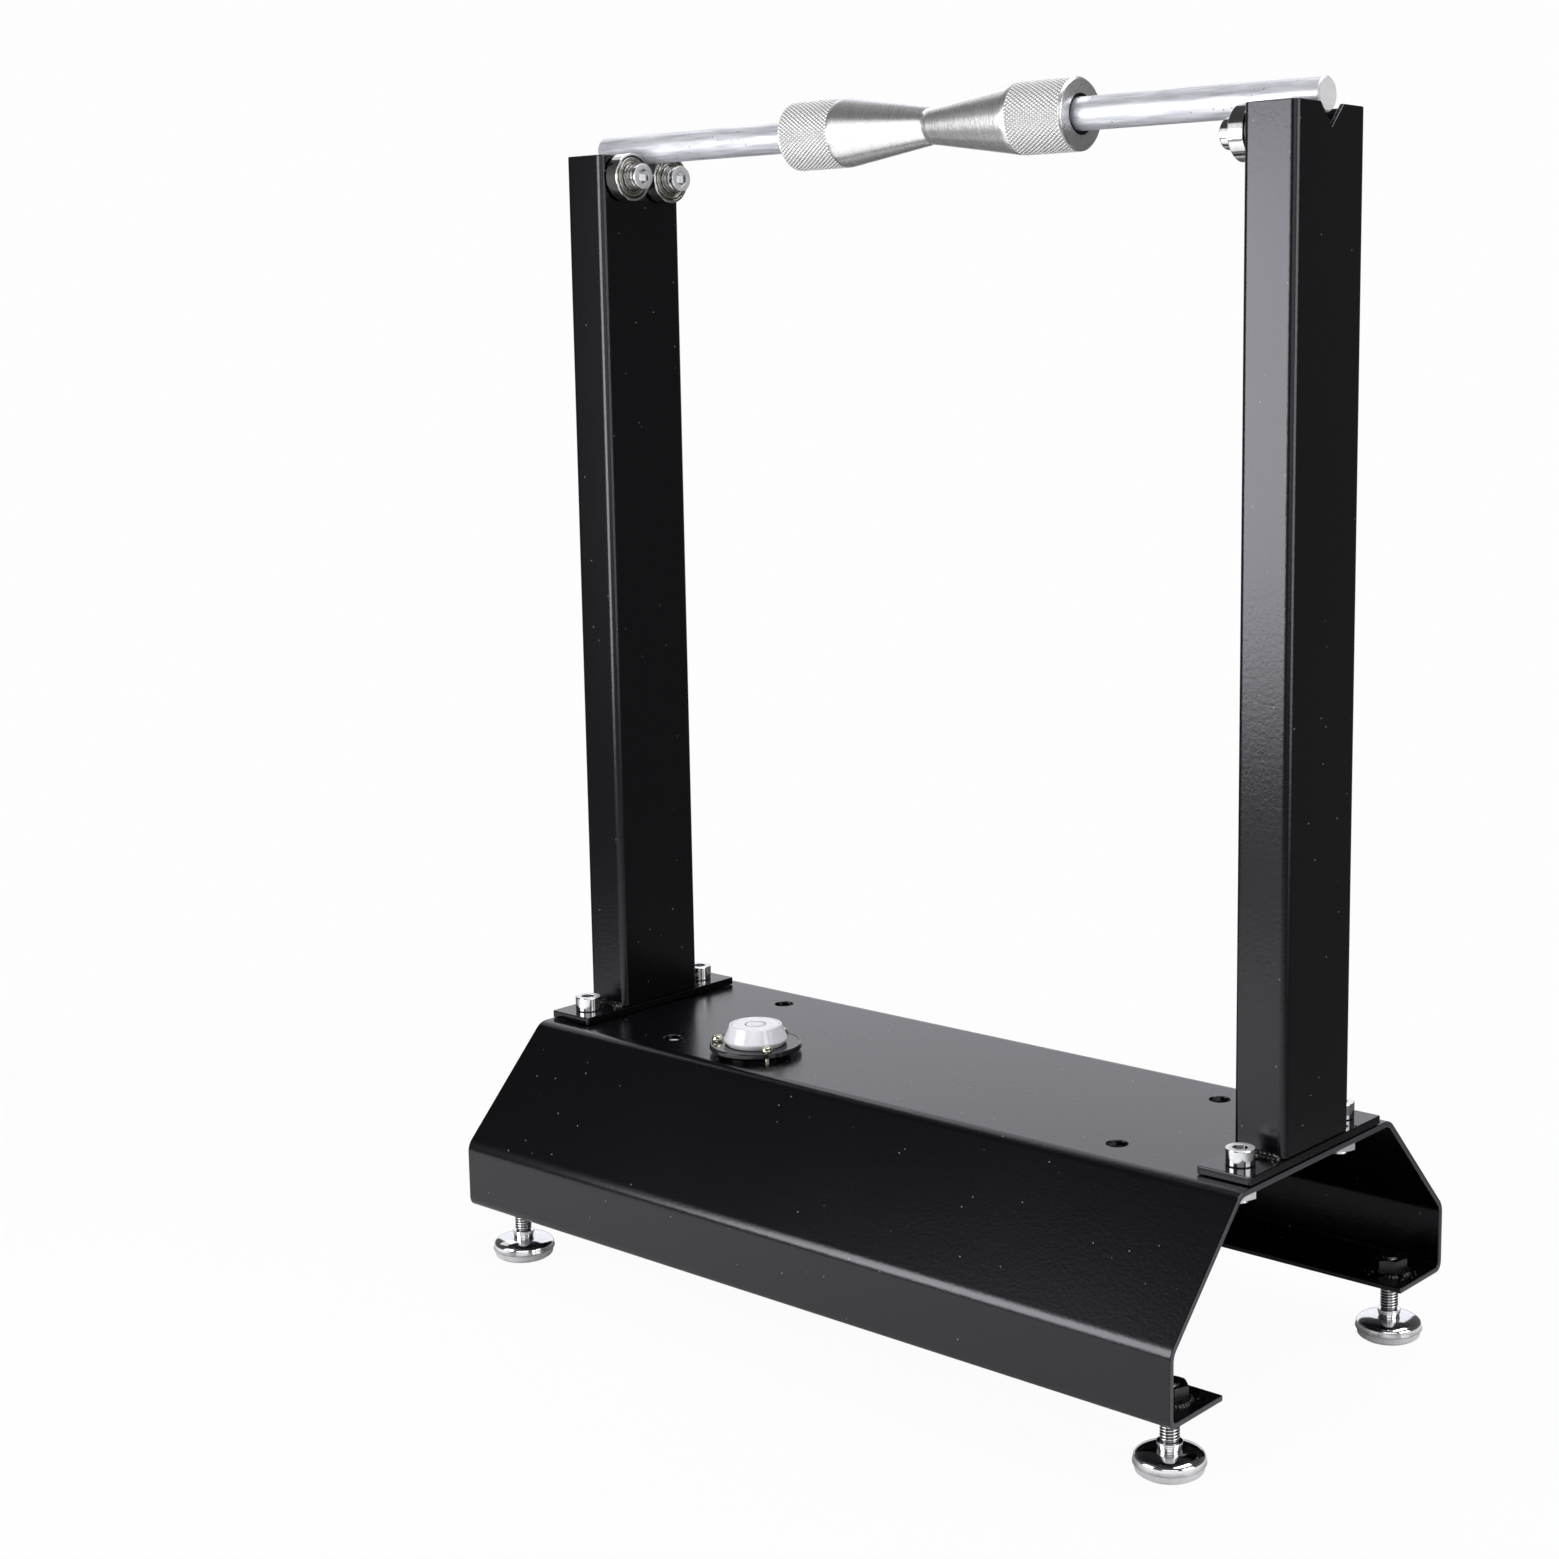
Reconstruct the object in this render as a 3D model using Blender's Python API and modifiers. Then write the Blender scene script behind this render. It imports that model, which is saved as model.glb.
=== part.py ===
"""A motorcycle wheel balancer, in metres, +Z up, standing on z = 0.

A bent sheet base stands on four levelling feet and carries two rectangular tube posts.
Each post holds a pair of ball bearings near its top, and the shaft lies in the two
valleys between them. Two cones slide along the shaft and centre a wheel on it. X runs
along the shaft, and the front is the -Y side.
"""

import math

import bmesh
import bpy
from mathutils import Matrix, Vector

# Clearances
GAP = 0.0003  # between two pieces that touch or turn in each other
BOLT_CLEARANCE = 0.0008  # round a shank, in a bolt hole
OVERRUN = 0.002  # how far a cutter runs past what it cuts
MERGE = 0.00001  # points closer than this are one point

# Base: one bent sheet, open at both ends and below
BASE_LENGTH = 0.400
BASE_WIDTH = 0.210
BASE_HEIGHT = 0.080
DECK_WIDTH = 0.1152
SIDE_HEIGHT = 0.030
FLANGE_WIDTH = 0.036
SHEET = 0.0025
BEND_RADIUS = 0.005
BEND_STEPS = 4

# Screws and nuts of the frame
SHANK_RADIUS = 0.0037
HEAD_RADIUS = 0.006
HEAD_HEIGHT = 0.0065
HEAD_CHAMFER = 0.0006
SOCKET_RADIUS = 0.0034  # to the corners of the hexagon
SOCKET_DEPTH = 0.004
NUT_FLATS = 0.013
NUT_HEIGHT = 0.0065
SCREW_PROUD = 0.002  # how far a screw stands out of its nut

# Posts: rectangular tube with a notch in the top
POST_HEIGHT = 0.4065
POST_DEPTH = 0.024
POST_WIDTH = 0.050
POST_WALL = 0.002
POST_CORNER = 0.0034
POST_INSET = 0.013  # from the end of the base to the middle of the post
CORNER_STEPS = 3
NOTCH_WIDTH = 0.0168
NOTCH_DEPTH = 0.0090

# Foot plates, one under each post, and the second set of holes that takes them
PLATE_LENGTH = 0.100
PLATE_WIDTH = 0.025
PLATE_THICKNESS = 0.0035
PLATE_CORNER = 0.0012
PLATE_HOLE_INSET = 0.012
SPARE_HOLE_SHIFT = 0.059

# Bearings
BEARING_RADIUS = 0.011
BEARING_BORE = 0.004
BEARING_WIDTH = 0.007
BEARING_CHAMFER = 0.0003
BEARING_DROP = 0.0101  # from the top of the post down to the bearing axes
BEARING_PAIR_GAP = 0.0024
OUTER_WALL = 0.0018
INNER_WALL = 0.0021
FACE_WALL = 0.0014  # wall of the outer ring where it shows beside the shield
SHIELD_THICKNESS = 0.00035
SHIELD_RECESS = 0.00035
SHIELD_CLEARANCE = 0.0004
BALL_RADIUS = 0.00198
BALL_COUNT = 7
RACE_CLEARANCE = 0.0004
RACE_STEPS = 3
CAGE_THICKNESS = 0.0008
CAGE_WIDTH = 0.0016
SHIM_THICKNESS = 0.0005
SHIM_WALL = 0.0027

# Shaft
SHAFT_REACH = 0.010  # past the middle of each post
SHAFT_RADIUS = 0.0068
SHAFT_CHAMFER = 0.0007
CENTRE_RADIUS = 0.0013
CENTRE_DEPTH = 0.0009

# Cones
CONE_RADIUS = 0.015
CONE_MEET = 0.00445  # where the two tips meet on the shaft
KNURL_LENGTH = 0.029
TAPER_LENGTH = 0.0485
TIP_WALL = 0.0007
TIP_CHAMFER = 0.0003
END_CHAMFER = 0.0008
COUNTERSINK_WALL = 0.0014
COUNTERSINK_DEPTH = 0.0015
SET_SCREW_RADIUS = 0.0027
SET_SCREW_LENGTH = 0.0074
SET_SCREW_CHAMFER = 0.0004
SET_SOCKET_RADIUS = 0.0017
SET_SOCKET_DEPTH = 0.003

# Levelling feet
FOOT_X_INSET = 0.014
FOOT_Y_INSET = 0.0205
FOOT_RADIUS = 0.0145
PAD_INSET = 0.0007
PAD_HEIGHT = 0.0036
PAD_BOSS_HEIGHT = 0.0012
PAD_BOSS_RADIUS = 0.0100
PAD_EDGE = 0.0007
RIM_HEIGHT = 0.0022
RIM_EDGE = 0.0004
DOME_HEIGHT = 0.0035
COLLAR_RADIUS = 0.0053
COLLAR_HEIGHT = 0.0031
COLLAR_CHAMFER = 0.0009
STUD_SHOWN = 0.0142
STUD_PROUD = 0.0005
STUD_CHAMFER = 0.0008

# Bubble level
LEVEL_RADIUS = 0.0213
LEVEL_EDGE_GAP = 0.0055  # from the flange of the level to the bend of the deck
LEVEL_FROM_SPARE_HOLE = 0.0465
LEVEL_PLATE = 0.0025
LEVEL_PLATE_CHAMFER = 0.0005
LEVEL_STEP_HEIGHT = 0.0015  # holds the plate off the deck
LEVEL_STEP_WALL = 0.003
VIAL_FOOT_RADIUS = 0.0130
VIAL_RADIUS = 0.0150
VIAL_TOP_RADIUS = 0.0122
VIAL_HEIGHT = 0.0083
VIAL_EDGE = 0.0016
LEVEL_SCREW_COUNT = 3
LEVEL_SCREW_CIRCLE = 0.0182
LEVEL_SHANK_RADIUS = 0.0012
LEVEL_HEAD_RADIUS = 0.0026
LEVEL_HEAD_HEIGHT = 0.0021
LEVEL_HEAD_EDGE = 0.0007
LEVEL_SCREW_PROUD = 0.001

# Facets round a full turn
FINE = 28
MEDIUM = 24
SMALL = 16
COARSE = 12
HEX = 6
SMOOTH_ANGLE = math.radians(35)
QUARTER = math.radians(90)
HALF_TURN = math.radians(180)
FULL_TURN = math.radians(360)

# Places worked out from the sizes above
STAND = PAD_HEIGHT + GAP + RIM_HEIGHT + DOME_HEIGHT + COLLAR_HEIGHT + STUD_SHOWN
DECK_TOP = STAND + BASE_HEIGHT
PLATE_TOP = DECK_TOP + GAP + PLATE_THICKNESS
POST_BOTTOM = PLATE_TOP + GAP
POST_TOP = POST_BOTTOM + POST_HEIGHT
POST_X = BASE_LENGTH / 2 - POST_INSET
PLATE_HOLE_Y = PLATE_LENGTH / 2 - PLATE_HOLE_INSET
SPARE_HOLE_X = POST_X - SPARE_HOLE_SHIFT
FOOT_X = BASE_LENGTH / 2 - FOOT_X_INSET
FOOT_Y = BASE_WIDTH / 2 - FOOT_Y_INSET
BOLT_HOLE = SHANK_RADIUS + BOLT_CLEARANCE
BEARING_Y = BEARING_RADIUS + BEARING_PAIR_GAP / 2
BEARING_Z = POST_TOP - BEARING_DROP
SHIM_OFFSET = POST_DEPTH / 2 + GAP + SHIM_THICKNESS / 2
BEARING_OFFSET = POST_DEPTH / 2 + GAP + SHIM_THICKNESS + GAP + BEARING_WIDTH / 2
HEAD_OFFSET = BEARING_OFFSET + BEARING_WIDTH / 2 + GAP
TUBE_NUT_OFFSET = POST_DEPTH / 2 - POST_WALL - GAP - NUT_HEIGHT / 2
BEARING_GRIP = HEAD_OFFSET - TUBE_NUT_OFFSET + NUT_HEIGHT / 2
SEAT_DISTANCE = BEARING_RADIUS + GAP + SHAFT_RADIUS
SHAFT_LENGTH = 2 * (POST_X + SHAFT_REACH)
SHAFT_Z = BEARING_Z + math.sqrt(SEAT_DISTANCE**2 - BEARING_Y**2)
PITCH_RADIUS = (BEARING_BORE + INNER_WALL + BEARING_RADIUS - OUTER_WALL) / 2
CONE_LENGTH = KNURL_LENGTH + TAPER_LENGTH
CONE_BORE = SHAFT_RADIUS + GAP
SET_SCREW_PLACE = CONE_LENGTH - KNURL_LENGTH / 2
LEVEL_X = LEVEL_FROM_SPARE_HOLE - SPARE_HOLE_X
LEVEL_Y = LEVEL_RADIUS + LEVEL_EDGE_GAP - DECK_WIDTH / 2
LEVEL_FLANGE = LEVEL_STEP_HEIGHT + LEVEL_PLATE
VIAL_SEAT = LEVEL_FLANGE + GAP

SIDES = (("left", -1), ("right", 1))
ENDS = (("front", -1), ("back", 1))


# Scene, collections and materials


def clear_scene():
    for obj in list(bpy.data.objects):
        bpy.data.objects.remove(obj, do_unlink=True)
    for mesh in list(bpy.data.meshes):
        bpy.data.meshes.remove(mesh)


def collection(name):
    made = bpy.data.collections.new(name)
    bpy.context.scene.collection.children.link(made)
    return made


clear_scene()
PARTS = collection("wheel_balancer")
CUTTERS = collection("wheel_balancer_cutters")


def material(name, colour, roughness, metallic):
    made = bpy.data.materials.new(name)
    made.use_nodes = True
    made.diffuse_color = (*colour, 1)
    shader = made.node_tree.nodes["Principled BSDF"]
    shader.inputs["Base Color"].default_value = (*colour, 1)
    shader.inputs["Roughness"].default_value = roughness
    shader.inputs["Metallic"].default_value = metallic
    return made


POWDER_COAT = material("black_powder_coat", (0.018, 0.018, 0.020), 0.38, 0.0)
BLACK_STEEL = material("black_nut", (0.020, 0.020, 0.022), 0.45, 0.0)
GROUND_STEEL = material("ground_steel", (0.62, 0.63, 0.66), 0.28, 1.0)
POLISHED = material("polished_steel", (0.74, 0.75, 0.78), 0.16, 1.0)
RING_STEEL = material("bearing_ring_steel", (0.66, 0.66, 0.68), 0.20, 1.0)
BALL_STEEL = material("ball_steel", (0.60, 0.60, 0.62), 0.15, 1.0)
ZINC = material("zinc_plate", (0.72, 0.73, 0.76), 0.24, 1.0)
CHROME = material("chrome", (0.80, 0.80, 0.82), 0.06, 1.0)
PAD_PLASTIC = material("pale_pad_plastic", (0.70, 0.70, 0.72), 0.35, 0.0)
LEVEL_PLASTIC = material("dark_level_plastic", (0.045, 0.045, 0.050), 0.25, 0.0)
VIAL_PLASTIC = material("white_vial_plastic", (0.86, 0.87, 0.89), 0.18, 0.0)


# Objects and meshes


def add_object(name, mesh, finish, parent=None, place=(0, 0, 0), turn=(0, 0, 0)):
    """A part at a place and rotation, in its parent's space where it has one."""
    obj = bpy.data.objects.new(name, mesh)
    PARTS.objects.link(obj)
    obj.parent = parent
    obj.location = place
    obj.rotation_euler = turn
    if not mesh.materials:
        mesh.materials.append(finish)
    return obj


def add_cutter(name, mesh, parent=None, place=(0, 0, 0), turn=(0, 0, 0)):
    obj = bpy.data.objects.new(name, mesh)
    CUTTERS.objects.link(obj)
    obj.parent = parent
    obj.location = place
    obj.rotation_euler = turn
    obj.hide_render = True
    obj.display_type = "WIRE"
    return obj


def add_empty(name, place, turn=(0, 0, 0)):
    obj = bpy.data.objects.new(name, None)
    PARTS.objects.link(obj)
    obj.location = place
    obj.rotation_euler = turn
    return obj


def cut(obj, cutter):
    step = obj.modifiers.new("cut_" + cutter.name, "BOOLEAN")
    step.operation = "DIFFERENCE"
    step.solver = "EXACT"
    step.object = cutter


def mesh_from(name, build):
    """A mesh filled by a function that works on an empty bmesh."""
    work = bmesh.new()
    build(work)
    mesh = bpy.data.meshes.new(name)
    work.to_mesh(mesh)
    work.free()
    return mesh


def smoothed(mesh):
    mesh.shade_smooth()
    mesh.set_sharp_from_angle(angle=SMOOTH_ANGLE)
    return mesh


def settled_mesh(obj, name):
    """The object's mesh with its modifiers applied; the object itself is removed."""
    bpy.context.view_layer.update()
    graph = bpy.context.evaluated_depsgraph_get()
    mesh = bpy.data.meshes.new_from_object(obj.evaluated_get(graph))
    mesh.name = name
    bpy.data.objects.remove(obj, do_unlink=True)
    return smoothed(mesh)


def cylinder(work, radius, height, matrix, facets):
    """A closed cylinder about the local Z axis, centred on the matrix."""
    bmesh.ops.create_cone(
        work, cap_ends=True, segments=facets, radius1=radius, radius2=radius, depth=height, matrix=matrix
    )


def cylinders_mesh(name, radius, height, places, facets):
    """Upright cylinders of one size at several places, as one cutter mesh."""

    def build(work):
        for place in places:
            cylinder(work, radius, height, Matrix.Translation(Vector(place)), facets)

    return mesh_from(name, build)


def turned_mesh(name, profile, facets, ring=False):
    """A profile of (radius, height) points turned about Z.

    The profile starts at the top and runs down the outer side. A ring's profile goes
    back up the bore and closes on its first point.
    """
    count = len(profile)
    edges = [(i, i + 1) for i in range(count - 1)]
    if ring:
        edges.append((count - 1, 0))
    mesh = bpy.data.meshes.new(name + "_profile")
    mesh.from_pydata([(radius, 0, height) for radius, height in profile], edges, [])
    obj = bpy.data.objects.new(name + "_profile", mesh)
    PARTS.objects.link(obj)
    spin = obj.modifiers.new("turn", "SCREW")
    spin.axis = "Z"
    spin.angle = FULL_TURN
    spin.steps = facets
    spin.render_steps = facets
    spin.use_merge_vertices = True
    spin.merge_threshold = MERGE
    return settled_mesh(obj, name)


def rounded_path(corners, radius, steps, closed=False):
    """Points of a path of straight runs whose corners are arcs of one radius."""
    count = len(corners)
    points = []
    for i, corner in enumerate(corners):
        if not closed and i in (0, count - 1):
            points.append(Vector(corner))
            continue
        here = Vector(corner)
        back = (Vector(corners[i - 1]) - here).normalized()
        ahead = (Vector(corners[(i + 1) % count]) - here).normalized()
        half = back.angle(ahead) / 2
        centre = here + (back + ahead).normalized() * (radius / math.sin(half))
        start = here + back * (radius / math.tan(half)) - centre
        turn = start.angle_signed(here + ahead * (radius / math.tan(half)) - centre)
        for k in range(steps + 1):
            angle = -turn * k / steps
            spun = Vector(
                (
                    start.x * math.cos(angle) - start.y * math.sin(angle),
                    start.x * math.sin(angle) + start.y * math.cos(angle),
                )
            )
            points.append(centre + spun)
    return points


def arc(centre, radius, start, end, steps):
    """Points on an arc about a centre, ends included."""
    return [
        (
            centre[0] + radius * math.cos(start + (end - start) * k / steps),
            centre[1] + radius * math.sin(start + (end - start) * k / steps),
        )
        for k in range(steps + 1)
    ]


def rectangle(width, height):
    """The corners of a rectangle about the origin, anticlockwise."""
    return [
        (-width / 2, -height / 2),
        (width / 2, -height / 2),
        (width / 2, height / 2),
        (-width / 2, height / 2),
    ]


def thicken(obj, thickness):
    """Gives an open surface a wall, on the side behind its faces."""
    wall = obj.modifiers.new("wall", "SOLIDIFY")
    wall.thickness = thickness
    wall.offset = -1
    wall.use_even_offset = True


# Base


def base_surface():
    """The outer surface of the base's back half, from the middle of the deck to the flange."""
    path = rounded_path(
        [
            (0, BASE_HEIGHT),
            (DECK_WIDTH / 2, BASE_HEIGHT),
            (BASE_WIDTH / 2, SIDE_HEIGHT),
            (BASE_WIDTH / 2, 0),
            (BASE_WIDTH / 2 - FLANGE_WIDTH, 0),
        ],
        BEND_RADIUS,
        BEND_STEPS,
    )

    def build(work):
        rows = []
        for x in (-BASE_LENGTH / 2, BASE_LENGTH / 2):
            rows.append([work.verts.new((x, y, z)) for y, z in path])
        for k in range(len(path) - 1):
            work.faces.new((rows[0][k], rows[1][k], rows[1][k + 1], rows[0][k + 1]))

    return mesh_from("base_channel", build)


def level_screw_places():
    return [
        (
            LEVEL_SCREW_CIRCLE * math.cos(QUARTER + FULL_TURN * k / LEVEL_SCREW_COUNT),
            LEVEL_SCREW_CIRCLE * math.sin(QUARTER + FULL_TURN * k / LEVEL_SCREW_COUNT),
        )
        for k in range(LEVEL_SCREW_COUNT)
    ]


def make_base():
    base = add_object("base_channel", base_surface(), POWDER_COAT, place=(0, 0, STAND))
    mirror = base.modifiers.new("front_half", "MIRROR")
    mirror.use_axis = (False, True, False)
    mirror.merge_threshold = MERGE
    thicken(base, SHEET)
    hole_height = SHEET + 2 * OVERRUN
    deck_middle = BASE_HEIGHT - SHEET / 2
    bolt_places = [
        (x * side, PLATE_HOLE_Y * end, deck_middle)
        for x in (POST_X, SPARE_HOLE_X)
        for _, side in SIDES
        for _, end in ENDS
    ]
    foot_places = [(FOOT_X * side, FOOT_Y * end, SHEET / 2) for _, side in SIDES for _, end in ENDS]
    bolts = cylinders_mesh("deck_and_foot_holes", BOLT_HOLE, hole_height, bolt_places + foot_places, SMALL)
    cut(base, add_cutter("deck_and_foot_holes", bolts, base))
    level_places = [(LEVEL_X + x, LEVEL_Y + y, deck_middle) for x, y in level_screw_places()]
    small = cylinders_mesh("level_holes", LEVEL_SHANK_RADIUS + GAP, hole_height, level_places, COARSE)
    cut(base, add_cutter("level_holes", small, base))
    return base


# Screws and nuts


def socket_screw_mesh(name, length):
    """A socket head screw: the head stands above z = 0 and the shank hangs below."""
    body = turned_mesh(
        name,
        [
            (0, HEAD_HEIGHT),
            (HEAD_RADIUS - HEAD_CHAMFER, HEAD_HEIGHT),
            (HEAD_RADIUS, HEAD_HEIGHT - HEAD_CHAMFER),
            (HEAD_RADIUS, 0),
            (SHANK_RADIUS, 0),
            (SHANK_RADIUS, -length + HEAD_CHAMFER),
            (SHANK_RADIUS - HEAD_CHAMFER, -length),
            (0, -length),
        ],
        SMALL,
    )
    obj = add_object(name, body, ZINC)
    socket = hexagon_cutter(name + "_socket", SOCKET_RADIUS, SOCKET_DEPTH, HEAD_HEIGHT)
    cut(obj, socket)
    mesh = settled_mesh(obj, name)
    bpy.data.objects.remove(socket, do_unlink=True)
    return mesh


def hexagon_cutter(name, radius, depth, top):
    """A six-sided cutter that goes down from a top face by a depth."""
    height = depth + OVERRUN
    middle = Matrix.Translation((0, 0, top - depth + height / 2))
    return add_cutter(name, mesh_from(name, lambda work: cylinder(work, radius, height, middle, HEX)))


def nut_mesh(name, finish):
    """A hexagon nut about the origin, with a bore that clears the shank."""
    corner_radius = NUT_FLATS / 2 / math.cos(HALF_TURN / HEX)
    middle = Matrix.Identity(4)
    body = mesh_from(name, lambda work: cylinder(work, corner_radius, NUT_HEIGHT, middle, HEX))
    obj = add_object(name, body, finish)
    bore = add_cutter(
        name + "_bore",
        cylinders_mesh(name, SHANK_RADIUS + GAP, NUT_HEIGHT + 2 * OVERRUN, [(0, 0, 0)], COARSE),
    )
    cut(obj, bore)
    mesh = settled_mesh(obj, name)
    bpy.data.objects.remove(bore, do_unlink=True)
    return mesh


# Posts, with the plates under them and the bearings on their inner faces


def tube_surface():
    outline = rounded_path(rectangle(POST_DEPTH, POST_WIDTH), POST_CORNER, CORNER_STEPS, closed=True)

    def build(work):
        rows = []
        for z in (0, POST_HEIGHT):
            rows.append([work.verts.new((x, y, z)) for x, y in outline])
        for k in range(len(outline)):
            after = (k + 1) % len(outline)
            work.faces.new((rows[0][k], rows[0][after], rows[1][after], rows[1][k]))

    return mesh_from("post_tube", build)


def notch_mesh():
    """A wedge that cuts the V through both broad walls of a post."""
    slope = NOTCH_WIDTH / 2 / NOTCH_DEPTH
    half_top = slope * (NOTCH_DEPTH + OVERRUN)
    half_depth = POST_DEPTH / 2 + OVERRUN
    corners = [(0, -NOTCH_DEPTH), (half_top, OVERRUN), (-half_top, OVERRUN)]

    def build(work):
        near = [work.verts.new((-half_depth, y, z)) for y, z in corners]
        face = work.faces.new(near)
        moved = bmesh.ops.extrude_face_region(work, geom=[face])["geom"]
        points = [item for item in moved if isinstance(item, bmesh.types.BMVert)]
        bmesh.ops.translate(work, verts=points, vec=(2 * half_depth, 0, 0))
        bmesh.ops.recalc_face_normals(work, faces=work.faces)

    return mesh_from("notch", build)


def plate_surface():
    outline = rounded_path(rectangle(PLATE_WIDTH, PLATE_LENGTH), PLATE_CORNER, CORNER_STEPS, closed=True)

    def build(work):
        work.faces.new([work.verts.new((x, y, PLATE_THICKNESS)) for x, y in outline])

    return mesh_from("foot_plate", build)


def make_plate(side, stand):
    plate = add_object("foot_plate_" + side, plate_surface(), POWDER_COAT, stand, (0, 0, GAP))
    thicken(plate, PLATE_THICKNESS)
    places = [(0, PLATE_HOLE_Y * end, PLATE_THICKNESS / 2) for _, end in ENDS]
    holes = cylinders_mesh("plate_holes", BOLT_HOLE, PLATE_THICKNESS + 2 * OVERRUN, places, SMALL)
    cut(plate, add_cutter("plate_holes_" + side, holes, plate))


def make_post(side, stand):
    foot = (0, 0, POST_BOTTOM - DECK_TOP)
    tube = add_object("post_tube_" + side, tube_surface(), POWDER_COAT, stand, foot)
    thicken(tube, POST_WALL)
    cut(tube, add_cutter("notch_" + side, notch_mesh(), tube, (0, 0, POST_HEIGHT)))
    wall_middle = POST_WALL / 2 - POST_DEPTH / 2

    def build(work):
        for _, end in ENDS:
            place = Vector((wall_middle, BEARING_Y * end, POST_HEIGHT - BEARING_DROP))
            matrix = Matrix.Translation(place) @ Matrix.Rotation(QUARTER, 4, "Y")
            cylinder(work, BOLT_HOLE, POST_WALL + 2 * OVERRUN, matrix, SMALL)

    cut(tube, add_cutter("bearing_holes_" + side, mesh_from("bearing_holes", build), tube))


# Bearings


def outer_ring_mesh():
    """An outer ring with its two shields, which end just short of the inner ring."""
    half = BEARING_WIDTH / 2
    land = BEARING_RADIUS - OUTER_WALL
    race = BALL_RADIUS + RACE_CLEARANCE
    edge = math.asin(min(1, (land - PITCH_RADIUS) / race))
    outside = half - SHIELD_RECESS
    inside = outside - SHIELD_THICKNESS
    lip = BEARING_BORE + INNER_WALL + SHIELD_CLEARANCE
    groove = arc((PITCH_RADIUS, 0), race, edge - QUARTER, QUARTER - edge, RACE_STEPS)
    return turned_mesh(
        "bearing_outer",
        [
            (BEARING_RADIUS - BEARING_CHAMFER, half),
            (BEARING_RADIUS, half - BEARING_CHAMFER),
            (BEARING_RADIUS, BEARING_CHAMFER - half),
            (BEARING_RADIUS - BEARING_CHAMFER, -half),
            (BEARING_RADIUS - FACE_WALL, -half),
            (BEARING_RADIUS - FACE_WALL, -outside),
            (lip, -outside),
            (lip, -inside),
            (land, -inside),
            *groove,
            (land, inside),
            (lip, inside),
            (lip, outside),
            (BEARING_RADIUS - FACE_WALL, outside),
            (BEARING_RADIUS - FACE_WALL, half),
        ],
        SMALL,
        ring=True,
    )


def inner_ring_mesh():
    half = BEARING_WIDTH / 2
    land = BEARING_BORE + INNER_WALL
    race = BALL_RADIUS + RACE_CLEARANCE
    edge = math.asin(min(1, (PITCH_RADIUS - land) / race))
    groove = arc((PITCH_RADIUS, 0), race, QUARTER + edge, HALF_TURN + QUARTER - edge, RACE_STEPS)
    return turned_mesh(
        "bearing_inner",
        [(land, half), *groove, (land, -half), (BEARING_BORE, -half), (BEARING_BORE, half)],
        SMALL,
        ring=True,
    )


def ball_set_mesh():
    """The balls joined by the cage ring that spaces them."""
    cage = turned_mesh(
        "bearing_balls",
        [
            (PITCH_RADIUS + CAGE_THICKNESS / 2, CAGE_WIDTH / 2),
            (PITCH_RADIUS + CAGE_THICKNESS / 2, -CAGE_WIDTH / 2),
            (PITCH_RADIUS - CAGE_THICKNESS / 2, -CAGE_WIDTH / 2),
            (PITCH_RADIUS - CAGE_THICKNESS / 2, CAGE_WIDTH / 2),
        ],
        2 * BALL_COUNT,
        ring=True,
    )

    def build(work):
        for k in range(BALL_COUNT):
            angle = FULL_TURN * k / BALL_COUNT
            place = (PITCH_RADIUS * math.cos(angle), PITCH_RADIUS * math.sin(angle), 0)
            matrix = Matrix.Translation(place)
            bmesh.ops.create_icosphere(work, subdivisions=1, radius=BALL_RADIUS, matrix=matrix)

    obj = add_object("bearing_balls", cage, BALL_STEEL)
    balls = add_cutter("balls", mesh_from("balls", build))
    joined = obj.modifiers.new("balls", "BOOLEAN")
    joined.operation = "UNION"
    joined.solver = "EXACT"
    joined.object = balls
    mesh = settled_mesh(obj, "bearing_balls")
    bpy.data.objects.remove(balls, do_unlink=True)
    return mesh


def shim_mesh():
    bore = SHANK_RADIUS + GAP
    outside = SHANK_RADIUS + SHIM_WALL
    half = SHIM_THICKNESS / 2
    return turned_mesh(
        "shim", [(outside, half), (outside, -half), (bore, -half), (bore, half)], COARSE, ring=True
    )


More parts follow.
